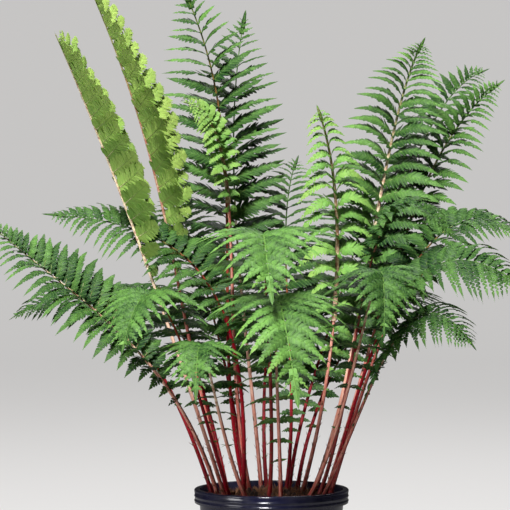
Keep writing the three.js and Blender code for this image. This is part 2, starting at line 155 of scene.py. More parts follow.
# The stalks' finish. Lengths are in millimetres, and shares run from 0 at the foot to 1 at
# the blade. A pale stalk has a painted highlight, pink and ivory on its side towards the key
# light, from a strength at its foot and more as it rises, with a soft edge towards its
# shaded side.
STALK_STATIONS = 40
STALK_SECTIONS = 14
SWELL_HEIGHT = 12.0
GROOVE_WIDTH = 0.45
HIGHLIGHT_STRENGTH = 1.6
HIGHLIGHT_AT_FOOT = 0.6
HIGHLIGHT_RISE = 0.8
HIGHLIGHT_EDGE = 2.5
HIGHLIGHT_FROM = 0.6
IVORY_REACH = 1.4
STALK_SCALES_TO = 0.55
STALK_SCALES_LOW = 2.2
STALK_SCALES_SUNK = 0.9
STALK_SCALE_LENGTHS = (3, 7)
STALK_SCALE_WIDTHS = (0.9, 1.7)
STALK_SCALES_OUT = (0.1, 0.7)
STALK_SCALE_SAGS = (-0.3, 0.2)
STALK_SCALE_THICK = 0.1

# The rachis's finish. Places run from 0 at the blade's foot to 1 at its tip, and the joint
# is the swelling where it leaves the stalk.
RACHIS_FROM = -0.01
RACHIS_STATIONS = 44
RACHIS_SECTIONS = 10
RACHIS_GROOVE = 0.12
RACHIS_HIGH = 0.85
JOINT_LENGTH = 0.03
JOINT_SWELL = 0.2
RED_FULL_TO = 0.55
RED_FADES_OVER = 0.7
END_LEAFLET_FROM = 0.92
END_LEAFLET_WIDE = 0.2
END_LEAFLET_THICK = 0.3

# The pinnae's finish, first by their place on the blade and then by the place along each
BLUNT_FROM = 0.75
BLUNT_GROWTH = 2.0
LOW_AT_FOOT = 0.4
LOW_RISE = 0.25
WIDTH_POWER = 1.5
PINNA_SHOULDER = 0.75
PINNA_RISE = 2.0
PINNA_POWER = 1.9
POINTED = 1.35
ROUNDED = 0.55
PINNA_RIB_TO = 0.9
PINNA_RIB_STATIONS = 7
PINNA_RIB_SECTIONS = 4
PINNA_RIB_RADIUS = 0.55
PINNA_RIB_TIP_RADIUS = 0.28
PINNA_RIB_HIGH = 0.8
FULL_RIB_LENGTH = 60
RIB_SIZE_LEAST = 0.35
RIB_RED_TO = 0.5
TIP_FROM = 0.8
TIP_THICK = 0.16
TIP_SAG = 0.05

# The pinnules: how many and where on a pinna, how their angles close and vary in degrees,
# how they are raised and twisted, and how far they reach towards the pinna's outline
PINNULES_LEAST = 4
PINNULES_MOST = 26
PINNULES_FROM = 0.01
PINNULES_OVER = 0.96
OPPOSITE_SHIFT = 0.25
ANGLE_CLOSES = 20
ANGLE_VARIES = 8
RAISED = 0.10
RAISED_VARIES = 0.22
TWIST_VARIES = 0.5
TURNED_REACH = 0.5
REACH_LEAST = 0.92
REACH_VARIES = 0.16
WIDER_THAN_LONG = 0.8
THICK_LEAST = 0.06
THICK_OF_WIDTH = 0.05
SAG_LEAST = 0.10
SAG_VARIES = 0.2
SWEPT = 0.12

# What the tissue's tone is made of, then what its lightness is made of
TONE_OF_TINT = 0.55
TONE_OF_PLACE = 0.25
TONE_OF_TIP = 0.34
TONE_PER_PINNA = 0.42
TONE_PER_PINNULE = 0.2
LIGHT_OF_TONE = 0.85
LIGHT_OF_PATCHES = 0.15
LIGHT_OF_ROOT = 0.35
ROOT_PART = 0.45
LIGHT_POWER = 2.0

# The veins of a pinnule, in shares of its length and width
SIDE_VEINS = 5.0
VEIN_SLANT = 3.0
SIDE_VEIN_WIDE = 0.07
SIDE_VEIN_STRENGTH = 0.5
MIDVEIN_WIDE = 0.05

# How chance is worked out, which draw of it each thing takes, and the random numbers' seeds
CHANCE_STEPS = (12.9898, 78.233)
CHANCE_SCALE = 43758.5453
SPREAD_DRAW = 0
TIP_DRAW = 11
ROLL_DRAW = 23
SHADE_DRAW = 31
LIFT_DRAW = 50
LENGTH_DRAW = 90
PINNULE_DRAWS = 7
CHIP_PLACES_SEED = 31
CHIP_SHAPES_SEED = 32
STUBS_SEED = 41
CROWN_SCALES_SEED = 42
STALK_SCALES_SEED = 500

# How far, in millimetres, each frond's streaks are shifted from the one's before it
GRAIN_SHIFT = 97.0

# Each frond's midline runs through its foot, a low point a third of the way along, a high
# point at two thirds, and its tip. The traits up to leans are the solid part's. bare is the
# share of the midline below the blade, span the length of the longest pinnae, pairs how many
# pairs of them the solid has, and droop how far they sag, as a share of their length. roll
# turns the blade about its midline and lift raises the pinnae above its face, in degrees.
# turn is how far they twist to the light, and leans the way that the blade leans, in
# degrees, where that isn't from its foot to its tip.
# The others are for looks. tint is how light the green is, and past 1 how young and yellow.
# It is in part the frond's own green, and in part painted shade for fronds that stand in
# shade and painted light for fronds turned away from the lamps.
# blush is how far up the blade the rachis stays red, and pale how much of that red has faded
# to pink and ivory, and how strong the stalk's painted highlight is, in pink and ivory on its
# side towards the key light. hook is how far each pinna's tip curves towards
# the frond's and arch how far its middle rises, as shares of its length. nod is how far in
# degrees its edge towards the frond's tip hangs below the solid's, and broad how many times
# wider than the rule's it is. finer is how many pinnae there are and stout how thick the
# rachis is, compared with the other blades. blunt, up to 1, is how far the ends of the
# pinnae and of the frond are round.
FROND_DEFAULTS = {
    "bare": 0.42, "span": 62, "pairs": 14, "droop": 0.25, "roll": 0, "lift": 10, "turn": 0.6,
    "leans": None, "tint": 0.4, "blush": 0.45, "pale": 0.0, "hook": 0.08, "arch": 0.05,
    "nod": 0, "broad": 1, "finer": 1, "stout": 1, "blunt": 0,
}


def frond(foot, low, high, tip, **traits):
    """One frond's driving points and traits."""
    points = np.array([(*foot, STALK_FOOT_LEVEL), low, high, tip], float)
    return {**FROND_DEFAULTS, **traits, "points": points}


FRONDS = (
    # The tallest frond, facing forward, with one behind it and a young one before it
    frond((-25, 25), (-48, 55, 334), (-53, 95, 530), (-102, 90, 718),
          bare=0.34, span=72, pairs=20, leans=96, lift=14, droop=0.16,
          tint=0.35, blush=0.8, hook=0.34, arch=0.1, broad=1.6, finer=0.8, stout=1.3),
    frond((-10, 42), (-28, 85, 322), (-42, 130, 509), (-29, 145, 690),
          bare=0.42, span=64, pairs=17, leans=78, lift=14, droop=0.14,
          tint=0.25, blush=0.3, pale=0.8, hook=0.25, broad=1.4, finer=0.85),
    frond((-20, 0), (-41, 10, 331), (-50, 15, 499), (-94, -15, 576),
          bare=0.6, span=38, pairs=13, leans=150, droop=0.4, tint=1.3, blush=0.9, pale=0.45,
          arch=0.18, broad=1.2, finer=0.8, stout=2, blunt=0.6),
    # Two tall fronds at the left, seen edge on
    frond((-47, -10), (-103, -42, 317), (-163, -50, 485), (-224, -100, 640),
          bare=0.5, span=56, pairs=17, leans=180, lift=38, droop=0.08, turn=0.2,
          tint=1.6, blush=1.2, pale=1.0, broad=1.5, finer=0.7, stout=1.4, blunt=1),
    frond((-43, 10), (-93, 20, 338), (-130, 25, 510), (-203, -10, 717),
          bare=0.5, span=56, pairs=18, leans=172, lift=38, droop=0.08, turn=0.2,
          tint=1.7, blush=0.9, pale=0.35, broad=1.5, finer=0.7, stout=1.4, blunt=1),
    # Right of the centre: one tall, one with curled pinnae, two at the back
    frond((40, 30), (89, 45, 307), (128, 75, 507), (170, 66, 651),
          bare=0.4, span=70, pairs=18, leans=84, lift=20, droop=0.32, turn=0.45,
          tint=0.65, blush=0.75, pale=0.75, arch=0.13, stout=1.7),
    frond((30, 15), (63, 30, 292), (72, 30, 445), (50, 0, 571),
          bare=0.44, span=46, pairs=16, leans=100, droop=0.55, tint=1.2, blush=1.0, pale=0.5,
          arch=0.3, broad=1.1, finer=0.7, stout=1.9, blunt=0.6),
    frond((56, 20), (112, 60, 318), (174, 100, 491), (262, 106, 608),
          bare=0.43, span=62, pairs=16, leans=60, lift=20, droop=0.28,
          tint=0.45, blush=0.6, pale=0.4, arch=0.13, stout=1.4),
    frond((44, 39), (102, 92, 328), (166, 145, 521), (250, 160, 626),
          bare=0.46, span=58, pairs=14, leans=60, lift=20, droop=0.28, tint=0.15),
    # Leaning forward, over the rim
    frond((9, -48), (6, -90, 253), (4, -150, 362), (24, -236, 266),
          bare=0.38, span=80, pairs=14, droop=0.4, tint=0.9, pale=0.45, nod=30,
          broad=1.35, finer=0.8),
    frond((-4, -28), (-2, -66, 291), (-9, -125, 422), (-1, -215, 366),
          bare=0.42, span=80, pairs=14, droop=0.35, tint=0.85, pale=0.1, nod=34,
          broad=1.35, finer=0.8),
    frond((-40, -38), (-75, -85, 261), (-114, -140, 364), (-149, -200, 316),
          bare=0.4, span=68, pairs=13, droop=0.4, tint=0.5, nod=30, broad=1.3, finer=0.85),
    frond((31, -40), (78, -85, 269), (105, -140, 386), (109, -210, 333),
          bare=0.42, span=64, pairs=13, droop=0.4, tint=0.35, pale=0.55, nod=30,
          broad=1.3, finer=0.85),
    frond((-20, -50), (-52, -98, 236), (-70, -150, 316), (-76, -210, 270),
          bare=0.4, span=50, pairs=12, droop=0.4, tint=0.5, pale=0.6, nod=30,
          broad=1.3, finer=0.85),
    # Arching to the right
    frond((46, -12), (86, -30, 305), (120, -50, 444), (193, -60, 428),
          bare=0.42, span=56, pairs=13, roll=14, droop=0.3, tint=0.25, pale=0.15, nod=15,
          arch=0.08, broad=1.2),
    frond((60, 7), (113, 20, 314), (185, 30, 434), (280, 35, 428),
          bare=0.4, span=58, roll=22, droop=0.4, tint=0.28, arch=0.08, broad=1.15),
    frond((59, -14), (112, -45, 311), (170, -75, 400), (263, -90, 378),
          bare=0.39, span=66, roll=35, droop=0.45, tint=0.24, pale=0.2, arch=0.08, broad=1.15),
    frond((49, -31), (101, -65, 268), (148, -100, 347), (207, -120, 317),
          bare=0.39, span=56, pairs=13, roll=20, droop=0.45, tint=0.15, pale=0.4, broad=1.15),
    # Arching to the left
    frond((-54, -26), (-115, -52, 278), (-202, -62, 367), (-300, -57, 447),
          bare=0.4, span=66, pairs=16, leans=187, roll=-45, lift=15, droop=0.25,
          tint=0.35, blush=0.9, pale=0.6, arch=0.12),
    frond((-60, -5), (-122, 35, 284), (-197, 45, 359), (-286, 40, 342),
          bare=0.4, span=64, pairs=12, roll=-20, droop=0.3, tint=0.15),
    frond((-31, -20), (-45, -25, 330), (-115, -8, 425), (-244, -8, 456),
          bare=0.4, span=64, pairs=15, roll=-35, droop=0.3, tint=0.35, arch=0.1, broad=0.9),
    # In the middle and at the back
    frond((14, 20), (22, 70, 282), (17, 110, 418), (31, 135, 523),
          bare=0.34, span=66, leans=80, droop=0.3, tint=0.25),
    frond((-28, 46), (-50, 100, 280), (-84, 155, 404), (-115, 200, 488),
          bare=0.36, span=66, leans=110, droop=0.3, tint=0.25),
    frond((19, 42), (50, 95, 280), (94, 155, 408), (105, 190, 488),
          bare=0.36, span=66, leans=75, droop=0.3, tint=0.2),
    frond((28, 52), (66, 110, 270), (130, 180, 355), (185, 240, 345),
          bare=0.36, span=66, pairs=13, droop=0.35, tint=0.2),
    frond((-46, 34), (-82, 112, 275), (-130, 170, 360), (-195, 225, 365),
          bare=0.36, span=66, pairs=13, droop=0.35, tint=0.25),
    frond((-4, 59), (-6, 125, 280), (5, 195, 365), (10, 275, 345),
          bare=0.36, span=66, pairs=13, droop=0.35, tint=0.25),
)

# The side that the key light comes from, where the stalks get their painted highlight
HIGHLIGHT_SIDE = np.array([-0.35, -0.85, 0.4])

# Where the camera stands, in millimetres, its lens and sensor, and how far it sees in metres
CAMERA_AT = (-17.8, -2300.0, 412.0)
CAMERA_LENS = 150.2
CAMERA_SENSOR = 36.0
CAMERA_SEES_TO = 30

# The studio, in metres: each softbox's place and width, and what they all face
SOFTBOXES = {
    "key_light": ((-0.5, -2.0, 2.8), 0.7),
    "fill_light": ((-2.3, -1.5, 0.9), 1.0),
    "back_light": ((0.6, 1.8, 2.4), 1.2),
}
PLANT_MIDDLE = (-0.02, 0.0, 0.38)
SKY_COLOUR = (0.95, 0.97, 1.0)
FLOOR_RINGS = (0.5, 2.0, 4.0, 6.0)
FLOOR_SWEEP = 3.0
FLOOR_SECTIONS = 96
FLOOR_GLOW = 2.1


# Numbers and vectors

def mix(a, b, t):
    """a where t is 0, b where t is 1, and straight between."""
    return a + (b - a) * t


def chance(a, b):
    """A number from 0 to 1 that is always the same for the same two counts: the fraction of
    a large multiple of a sine, as in the solid part."""
    wave = np.sin(a * CHANCE_STEPS[0] + b * CHANCE_STEPS[1]) * CHANCE_SCALE
    return wave - np.floor(wave)


def unit(v):
    """Each vector, one long."""
    return v / np.linalg.norm(v, axis=-1, keepdims=True)


def dot(a, b):
    """Each pair's dot product, kept as a last axis of one."""
    return (a * b).sum(-1, keepdims=True)


def turned_about(v, axis, angle):
    """Each vector turned about a unit axis: v cos + (axis x v) sin + axis (axis . v)(1 - cos)."""
    cos, sin = np.cos(angle)[..., None], np.sin(angle)[..., None]
    return v * cos + np.cross(axis, v) * sin + axis * dot(axis, v) * (1 - cos)


# Midlines and pinnae, by the rules of the solid part

def point_on(row, t):
    """The cubic through four points at t = 0, 1/3, 2/3 and 1: each point times its own
    weight, which is 1 at its own t and 0 at the other three."""
    t = np.asarray(t, float)
    weights = np.stack([
        (1 - 3 * t) * (2 - 3 * t) * (1 - t) / 2,
        9 * t * (2 - 3 * t) * (1 - t) / 2,
        9 * t * (3 * t - 1) * (1 - t) / 2,
        t * (3 * t - 1) * (3 * t - 2) / 2,
    ], axis=-1)
    return weights @ row["points"]


def frame_on(row, t):
    """At each t: the point, the direction to the tip, the left of the upper face, and the
    upper face's normal. Left is level and square to the way that the blade leans, made
    square to the midline and rolled about it."""
    step = 1e-4
    t = np.asarray(t, float)
    along = unit(point_on(row, t + step) - point_on(row, t - step))
    foot, tip = row["points"][0], row["points"][3]
    azimuth = math.atan2(tip[1] - foot[1], tip[0] - foot[0])
    if row["leans"] is not None:
        azimuth = math.radians(row["leans"])
    level = np.array([-math.sin(azimuth), math.cos(azimuth), 0.0])
    across = unit(level - along * dot(along, level))
    across = turned_about(across, along, np.full(t.shape, math.radians(row["roll"])))
    return point_on(row, t), along, across, np.cross(along, across)


def blade_place(share):
    """Places run from 0 at the blade's foot to 1 at its tip, and are below 0 on the stalk.
    The pinnae crowd together towards the tip."""
    return LAST_PINNA * (1 - (1 - np.minimum(share, 1)) ** CROWDING)


def blade_t(row, place):
    """The midline's t at a place on the blade."""
    return mix(row["bare"], 1, place)


def lance(place):
    """The blade's outline: a quarter sine up to its widest place, then a power down to 0."""
    rise = mix(LANCE_FOOT, 1, np.sin(np.pi / 2 * np.minimum(place / LANCE_WIDEST, 1)))
    past = np.maximum(0, (place - LANCE_WIDEST) / (1 - LANCE_WIDEST))
    return rise * (1 - past ** LANCE_POWER)


def pinna_ways(row, number, index, side, angle, shorter):
    """Pinnae as arrays of pinna by way that it may lie. A pinna leaves the rachis at its
    spread, lifted by the blade's lift and by the angle that it gives. Its chord is the
    rachis's direction, and chord and face are turned about the pinna towards the light."""
    place = blade_place((index + 0.5) / row["pairs"])
    at, along, across, face = (v[:, None, :] for v in frame_on(row, blade_t(row, place)))
    index, side, place = index[:, None], side[:, None], place[:, None]
    seed = index * 2 + (side + 1) / 2

    def vary(kind):
        return chance(number + kind, seed) - 0.5

    spread = mix(SPREAD_LOW, SPREAD_HIGH, place) + SPREAD_VARIES * vary(SPREAD_DRAW)
    spread = np.radians(spread)[..., None]
    notches = point_on(row, blade_t(row, blade_place((index + np.array([0, 1])) / row["pairs"])))
    room = np.linalg.norm(notches[:, 1] - notches[:, 0], axis=-1)[:, None]
    length = row["span"] * lance(place) * (1 + LENGTH_VARIES * vary(LENGTH_DRAW)) * shorter
    slender = np.clip(length / room - SLENDER_FROM, 0, 1)
    lift = row["lift"] * mix(SHORT_LIFT, 1, slender) + angle + LIFT_VARIES * vary(LIFT_DRAW)
    lift = np.radians(lift)
    outward = across * (side * np.cos(lift))[..., None] + face * np.sin(lift)[..., None]
    direction = along * np.cos(spread) + outward * np.sin(spread)
    flat = unit(face - direction * dot(direction, face))
    tipward = np.cross(direction, flat) * side[..., None]
    to_light = np.arctan2(tipward[..., 2], flat[..., 2])
    turn = side * slender * row["turn"] * np.clip(to_light, TURN_LEAST, TURN_MOST)
    return {
        "at": np.broadcast_to(at, direction.shape),
        "direction": direction,
        "chord": turned_about(np.broadcast_to(along, direction.shape), direction, turn),
        "length": length,
        "width": np.broadcast_to(PINNA_FILL * room, length.shape),
    }


def solid_midrib(pinnae, droop, u):
    """The solid's midrib at u: straight along the pinna, less a sag that grows as u squared."""
    length = pinnae["length"][..., None]
    return pinnae["at"] + pinnae["direction"] * length * u - UP * (droop * length * u * u)


def settled_ways(row, number, corners):
    """How each of the solid's pinnae lies: of all the ways that it may, the angle and the
    shortening whose three free corners are nearest to corners of the solid blade."""
    index = np.repeat(np.arange(row["pairs"]), 2)
    side = np.tile([1.0, -1.0], row["pairs"])
    angle = np.tile(np.array(GIVE_ANGLES, float), len(GIVE_LENGTHS))
    shorter = np.repeat(np.array(GIVE_LENGTHS, float), len(GIVE_ANGLES))
    ways = pinna_ways(row, number, index, side, angle, shorter)
    half = ways["chord"] * ways["width"][..., None] / 2
    bulge = solid_midrib(ways, row["droop"], BULGE_AT)
    miss = 0
    for corner in (solid_midrib(ways, row["droop"], 1.0), bulge - half, bulge + half):
        gaps = corner[:, :, None, :] - corners
        miss = miss + np.sqrt((gaps ** 2).sum(-1)).min(-1)
    best = miss.argmin(axis=1)
    worst = miss.min(axis=1).max()
    if worst > SOLID_MISS:
        raise RuntimeError(f"frond {number + 1} is {worst:.1f} mm off its solid")
    return index, side, angle[best], shorter[best]


def lacy_pinnae(row, number, corners, settings):
    """The blade's real pinnae, which are more than its solid's and lie between them. Each
    takes its angle and length from the solid's on its own side, straight between the two
    beside it, and keeps only part of their shortening. The lower ones overlap, and a few
    small pairs follow below, at the top of the stalk. Near a blunt frond's tip they are
    longer by the square of how near they are. Their width falls towards the tip as a power of
    the place, and is never more than a set share of their length."""
    index, side, angle, shorter = settled_ways(row, number, corners)
    finer = settings.pinnae * row["finer"]
    between = (np.arange(-settings.low_pairs, round(row["pairs"] * finer)) + 0.5) / finer - 0.5
    count = len(between)
    made = []
    for hand in (1.0, -1.0):
        own = side == hand
        bend = np.interp(between, index[own], angle[own])
        left = 1 - settings.keep_short * (1 - np.interp(between, index[own], shorter[own]))
        sides = np.full(count, hand)
        lying = pinna_ways(row, number, between, sides, bend[:, None], left[:, None])
        place = blade_place((between + 0.5) / row["pairs"])
        own_values = {name: values[:, 0] for name, values in lying.items()}
        made.append({**own_values, "side": sides, "place": place})
    pinnae = {name: np.concatenate([half[name] for half in made]) for name in made[0]}
    place, each = pinnae["place"], np.arange(2 * count)
    top = np.clip((place - BLUNT_FROM) / (1 - BLUNT_FROM), 0, 1)
    pinnae["length"] = pinnae["length"] * (1 + BLUNT_GROWTH * row["blunt"] * top * top)
    up = np.clip(place, 0, 1) ** WIDTH_POWER
    wide = row["broad"] * mix(settings.wide_low, settings.wide_high, up)
    low = np.clip(place / LOW_RISE + LOW_AT_FOOT, 0, 1)
    wide = pinnae["width"] * wide * mix(settings.wide_under, 1, low)
    pinnae["width"] = np.minimum(wide, settings.widest * pinnae["length"])
    roll = settings.roll_varies * 2 * (chance(number + ROLL_DRAW, each) - 0.5)
    roll = roll + pinnae["side"] * math.radians(row["nod"])
    pinnae["chord"] = turned_about(pinnae["chord"], pinnae["direction"], roll)
    pinnae["face"] = unit(np.cross(pinnae["chord"], pinnae["direction"])) * pinnae["side"][:, None]
    pinnae["shade"] = chance(number + SHADE_DRAW, each) - 0.5
    return pinnae


def midrib(row, pinnae, u):
    """The midrib's point and tangent at u. To the solid's sagging line it adds an arch,
    which stands highest at the middle, as four times u less u squared along the upper
    normal, and a hook towards the frond's tip as u cubed."""
    u = np.asarray(u)[..., None]
    length, droop = pinnae["length"][..., None], row["droop"]
    arch, hook = 4 * row["arch"], row["hook"]
    point = pinnae["at"] + length * (
        pinnae["direction"] * u - UP * (droop * u * u)
        + pinnae["face"] * (arch * (u - u * u)) + pinnae["chord"] * (hook * u ** 3))
    tangent = (pinnae["direction"] - UP * (2 * droop * u)
               + pinnae["face"] * (arch * (1 - 2 * u)) + pinnae["chord"] * (3 * hook * u * u))
    return point, unit(tangent)


def pinna_frames(row, pinnae, u):
    """At u on each pinna: the point, the tangent, the side that points to the frond's tip, the
    upper normal, and how square the chord is to the midrib."""
    at, tangent = midrib(row, pinnae, u)
    chord = pinnae["chord"] - tangent * dot(tangent, pinnae["chord"])
    square = np.linalg.norm(chord, axis=-1)
    side = chord / square[..., None]
    normal = np.cross(side, tangent) * pinnae["side"][..., None]
    return at, tangent, side, normal, square


# Mesh arrays: each is a dict of points, triangles and per-point values

def joined(parts):
    """Several mesh arrays as one, with the triangles' numbers moved on."""
    starts = np.cumsum([0] + [len(part["points"]) for part in parts[:-1]])
    names = [name for name in parts[0] if name != "triangles"]
    out = {name: np.concatenate([part[name] for part in parts]) for name in names}
    out["triangles"] = np.concatenate([part["triangles"] + s for part, s in zip(parts, starts)])
    return out


def copies(points, triangles):
    """Many copies of one shape: points is copy by point by axis, triangles one copy's."""
    count, size = points.shape[:2]
    moved = triangles[None] + (np.arange(count) * size)[:, None, None]
    return points.reshape(-1, 3), moved.reshape(-1, 3)


def round_angles(count):
    """Angles evenly round a circle."""
    return 2 * np.pi * np.arange(count) / count


def tube_triangles(stations, sections):
    """A tube's faces: two triangles for each step along and round, and a fan at each end
    about its centre. The two centres are the last two points."""
    ring = np.arange(sections)
    after = (ring + 1) % sections
    start = (np.arange(stations - 1) * sections)[:, None]
    a, b = start + ring, start + after
    c, d = a + sections, b + sections
    walls = [np.stack([a, b, d], -1).reshape(-1, 3), np.stack([a, d, c], -1).reshape(-1, 3)]
    low = np.full(sections, stations * sections)
    top = (stations - 1) * sections
    ends = [np.stack([low, after, ring], -1), np.stack([low + 1, ring + top, after + top], -1)]
    return np.concatenate(walls + ends)


def tubes(centres, side, up, wide, high, sections, groove=0.0):
    """Closed tubes, as arrays of tube by station. Round each station the points are cosine
    times wide along side and sine times high along up, drawn in by a narrow bell-shaped
    groove on the upper side. grain runs round as cosine and sine and along in millimetres."""
    angle = round_angles(sections)
    reach = 1 - groove * np.exp(-(((angle - np.pi / 2) / GROOVE_WIDTH) ** 2))
    out = (side[..., None, :] * (wide[..., None] * np.cos(angle) * reach)[..., None]
           + up[..., None, :] * (high[..., None] * np.sin(angle) * reach)[..., None])
    count, stations = centres.shape[:2]
    rings = (centres[..., None, :] + out).reshape(count, -1, 3)
    points, triangles = copies(
        np.concatenate([rings, centres[:, :1], centres[:, -1:]], axis=1),
        tube_triangles(stations, sections))
    steps = np.linalg.norm(np.diff(centres, axis=1), axis=-1)
    run = np.concatenate([np.zeros((count, 1)), np.cumsum(steps, axis=1)], axis=1)
    grain = np.stack(np.broadcast_arrays(np.cos(angle), np.sin(angle), run[..., None]), -1)
    ends = np.stack([np.zeros((count, 2)), np.zeros((count, 2)), run[:, [0, -1]]], -1)
    grain = np.concatenate([grain.reshape(count, -1, 3), ends], axis=1)
    return {"points": points, "triangles": triangles, "grain": grain.reshape(-1, 3)}


def per_station(values, sections):
    """A value for each tube and station, spread over the tube's points and its two ends."""
    rings = np.repeat(values, sections, axis=-1)
    return np.concatenate([rings, values[..., :1], values[..., -1:]], axis=-1).reshape(-1)


def leaflet_sheet(stations, half_widths, ridge):
    """A closed lens-shaped leaflet of unit length and width. Its outline has a pair of points
    at each station and one at the tip, and is shared by an upper and a lower sheet. Each
    sheet has its own midline points, at the stations numbered in ridge, that stand 1 above
    or below the outline. Each stretch of the outline joins the midline point behind it, or
    the first, and each stretch of the midline joins the outline beside its end."""
    stations, ridge = np.array(stations), np.array(ridge)
    pairs, end = len(stations), 2 * len(stations)
    left = np.stack([stations, half_widths, np.zeros(pairs)], -1)
    middle = np.stack([stations[ridge], np.zeros(len(ridge)), np.ones(len(ridge))], -1)
    points = np.concatenate([left, left * (1, -1, 1), [[1, 0, 0]], middle, middle * (1, 1, -1)])
    outline = np.append(np.arange(pairs), end)
    line = end + 1 + np.arange(len(ridge))
    behind = line[np.maximum(np.searchsorted(ridge, outline[:-1], "right") - 1, 0)]
    fan = np.stack([behind, outline[1:], outline[:-1]], -1)
    links = np.stack([line[:-1], line[1:], ridge[1:]], -1)
    half = np.insert(fan, ridge[1:], links, axis=0)
    mirrored = np.where(half < pairs, half + pairs, half)[:, ::-1]
    sheet = np.concatenate([half, mirrored, [(line[0], 0, pairs)]])
    under = np.where(sheet > end, sheet + len(ridge), sheet)[:, ::-1]
    return points, np.concatenate([sheet, under])


PINNULE = leaflet_sheet(
    (0.0, 0.18, 0.34, 0.50, 0.66, 0.84), (0.46, 0.52, 0.45, 0.49, 0.36, 0.27), (1, 4))
SMALL_PINNULE = leaflet_sheet((0.0, 0.25, 0.5, 0.75), (0.46, 0.52, 0.46, 0.35), (1,))
TIP_LEAFLET = leaflet_sheet((0.0, 0.2, 0.45, 0.72), (0.44, 0.50, 0.34, 0.20), (1,))
SCALE = leaflet_sheet((0.0, 0.3, 0.65), (0.3, 0.5, 0.32), (1,))


def leaflets(shape, root, outward, normal, length, width, thick, sag=0.0, bend=0.0, seed=0.0):
    """Copies of a leaflet: each point is its root, plus its station times the length outward,
    its half width across, and its height along the normal. The leaflet sags below its plane,
    and bends sideways in it, as the square of the station. grain is the station, the place
    across, and the leaflet's seed."""
    template, triangles = shape
    across = np.cross(normal, outward)
    a, b, c = (values[:, None] for values in template.T)
    length, width, thick, sag, bend, seed = (
        np.broadcast_to(values, len(root))[:, None, None]
        for values in (length, width, thick, sag, bend, seed))
    points = (root[:, None] + outward[:, None] * (a * length)
              + across[:, None] * (b * width + bend * a * a * length)
              + normal[:, None] * (c * thick - sag * a * a * length))
    flat, faces = copies(points, triangles)
    grain = np.empty((len(root), len(template), 3))
    grain[..., :2] = template[:, :2]
    grain[..., 2:] = seed
    return {"points": flat, "triangles": faces, "grain": grain.reshape(-1, 3)}


def valued(part, **values):
    """The part with per-point values, each one number or one for each point."""
    size = len(part["points"])
    spread = {name: np.broadcast_to(np.asarray(v, float), (size,)) for name, v in values.items()}
    return {**part, **spread}


def ungrained(points, triangles, **values):
    """A part with per-point values and no grain."""
    return valued({"points": points, "triangles": triangles}, **values)


def turned(profile, sides):
    """A profile of radius and height turned about Z: x is the radius times the cosine and y
    the radius times the sine. Its first and last points are on the axis and become single
    points, so that both poles are closed."""
    angle = round_angles(sides)
    radius, height = profile[1:-1, :1], profile[1:-1, 1:]
    rings = np.stack(
        np.broadcast_arrays(radius * np.cos(angle), radius * np.sin(angle), height), -1)
    poles = np.array([[0, 0, profile[0, 1]], [0, 0, profile[-1, 1]]])
    points = np.concatenate([rings.reshape(-1, 3), poles])
    return points, tube_triangles(len(rings), sides)


def arc(centre, radius, start, end, steps=6):
    """Points round a centre from one angle to another, in degrees."""
    angle = np.radians(np.linspace(start, end, steps))
    return np.stack([centre[0] + radius * np.cos(angle), centre[1] + radius * np.sin(angle)], -1)


def crumble(points, size, seed):
    """Rough relief from -1 to 1: three layers of crossed waves, the first as long as size,
    and each after it finer, fainter and turned."""
    finer, fainter, twist = 2.1, 0.6, 1.3
    total = np.zeros(len(points))
    for layer in range(3):
        wave = 2 * np.pi * finer ** layer / size
        turn = twist * layer + seed
        x = points[:, 0] * math.cos(turn) + points[:, 1] * math.sin(turn)
        y = points[:, 1] * math.cos(turn) - points[:, 0] * math.sin(turn)
        crossed = np.sin(wave * x + 2 * np.sin(0.6 * wave * y)) * np.cos(wave * y + seed)
        total += fainter ** layer * crossed
    return total / (1 + fainter + fainter ** 2)


# Pieces

def placed(name, data):
    """A new object of a mesh, a light or a camera, in the scene."""
    made = bpy.data.objects.new(name, data)
    bpy.context.scene.collection.objects.link(made)
    return made


def new_mesh(name, points, triangles, smooth=False):
    """A mesh from arrays in metres."""
    mesh = bpy.data.meshes.new(name)
    mesh.from_pydata(points, [], triangles)
    mesh.polygons.foreach_set("use_smooth", np.full(len(mesh.polygons), smooth))
    return mesh


def piece(name, shape, material, nodes, smooth=False):
    """A mesh object at the origin from arrays in millimetres, with its attributes, riding on
    the plant's one body in place of the solid nodes."""
    mesh = new_mesh(name, shape["points"] * MM, shape["triangles"], smooth)
    for key, values in shape.items():
        if key in ("points", "triangles"):
            continue
        kind, field = ("FLOAT_VECTOR", "vector") if values.ndim == 2 else ("FLOAT", "value")
        attribute = mesh.attributes.new(key, kind, "POINT")
        attribute.data.foreach_set(field, np.ascontiguousarray(values, np.float32).ravel())
    mesh.materials.append(material)
    mesh.update()
    made = placed(name, mesh)
    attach(made, "root")
    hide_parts(*nodes)
    return made


def solid_points(node):
    """A CAD node's corners in millimetres, each once."""
    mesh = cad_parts[node].data
    co = np.zeros(len(mesh.vertices) * 3, np.float32)
    mesh.vertices.foreach_get("co", co)
    return np.unique(np.round(co.reshape(-1, 3) / MM, 3), axis=0)


# Shader nodes

def set_inputs(tree, inputs, values):
    """Sets each named input to a constant, or joins it to another node's socket."""
    for name, value in values.items():
        if isinstance(value, bpy.types.NodeSocket):
            tree.links.new(value, inputs[name])
        else:
            inputs[name].default_value = value


def add(tree, kind, inputs=None, **settings):
    """A node with its settings and its inputs."""
    made = tree.nodes.new(kind)
    for name, value in settings.items():
        setattr(made, name, value)
    set_inputs(tree, made.inputs, inputs or {})
    return made


def calc(tree, operation, *values):
    """A Math node's result."""
    return add(tree, "ShaderNodeMath", dict(enumerate(values)), operation=operation).outputs[0]


def times(tree, mask, amount):
    """A mask times an amount."""
    return calc(tree, "MULTIPLY", mask, amount)


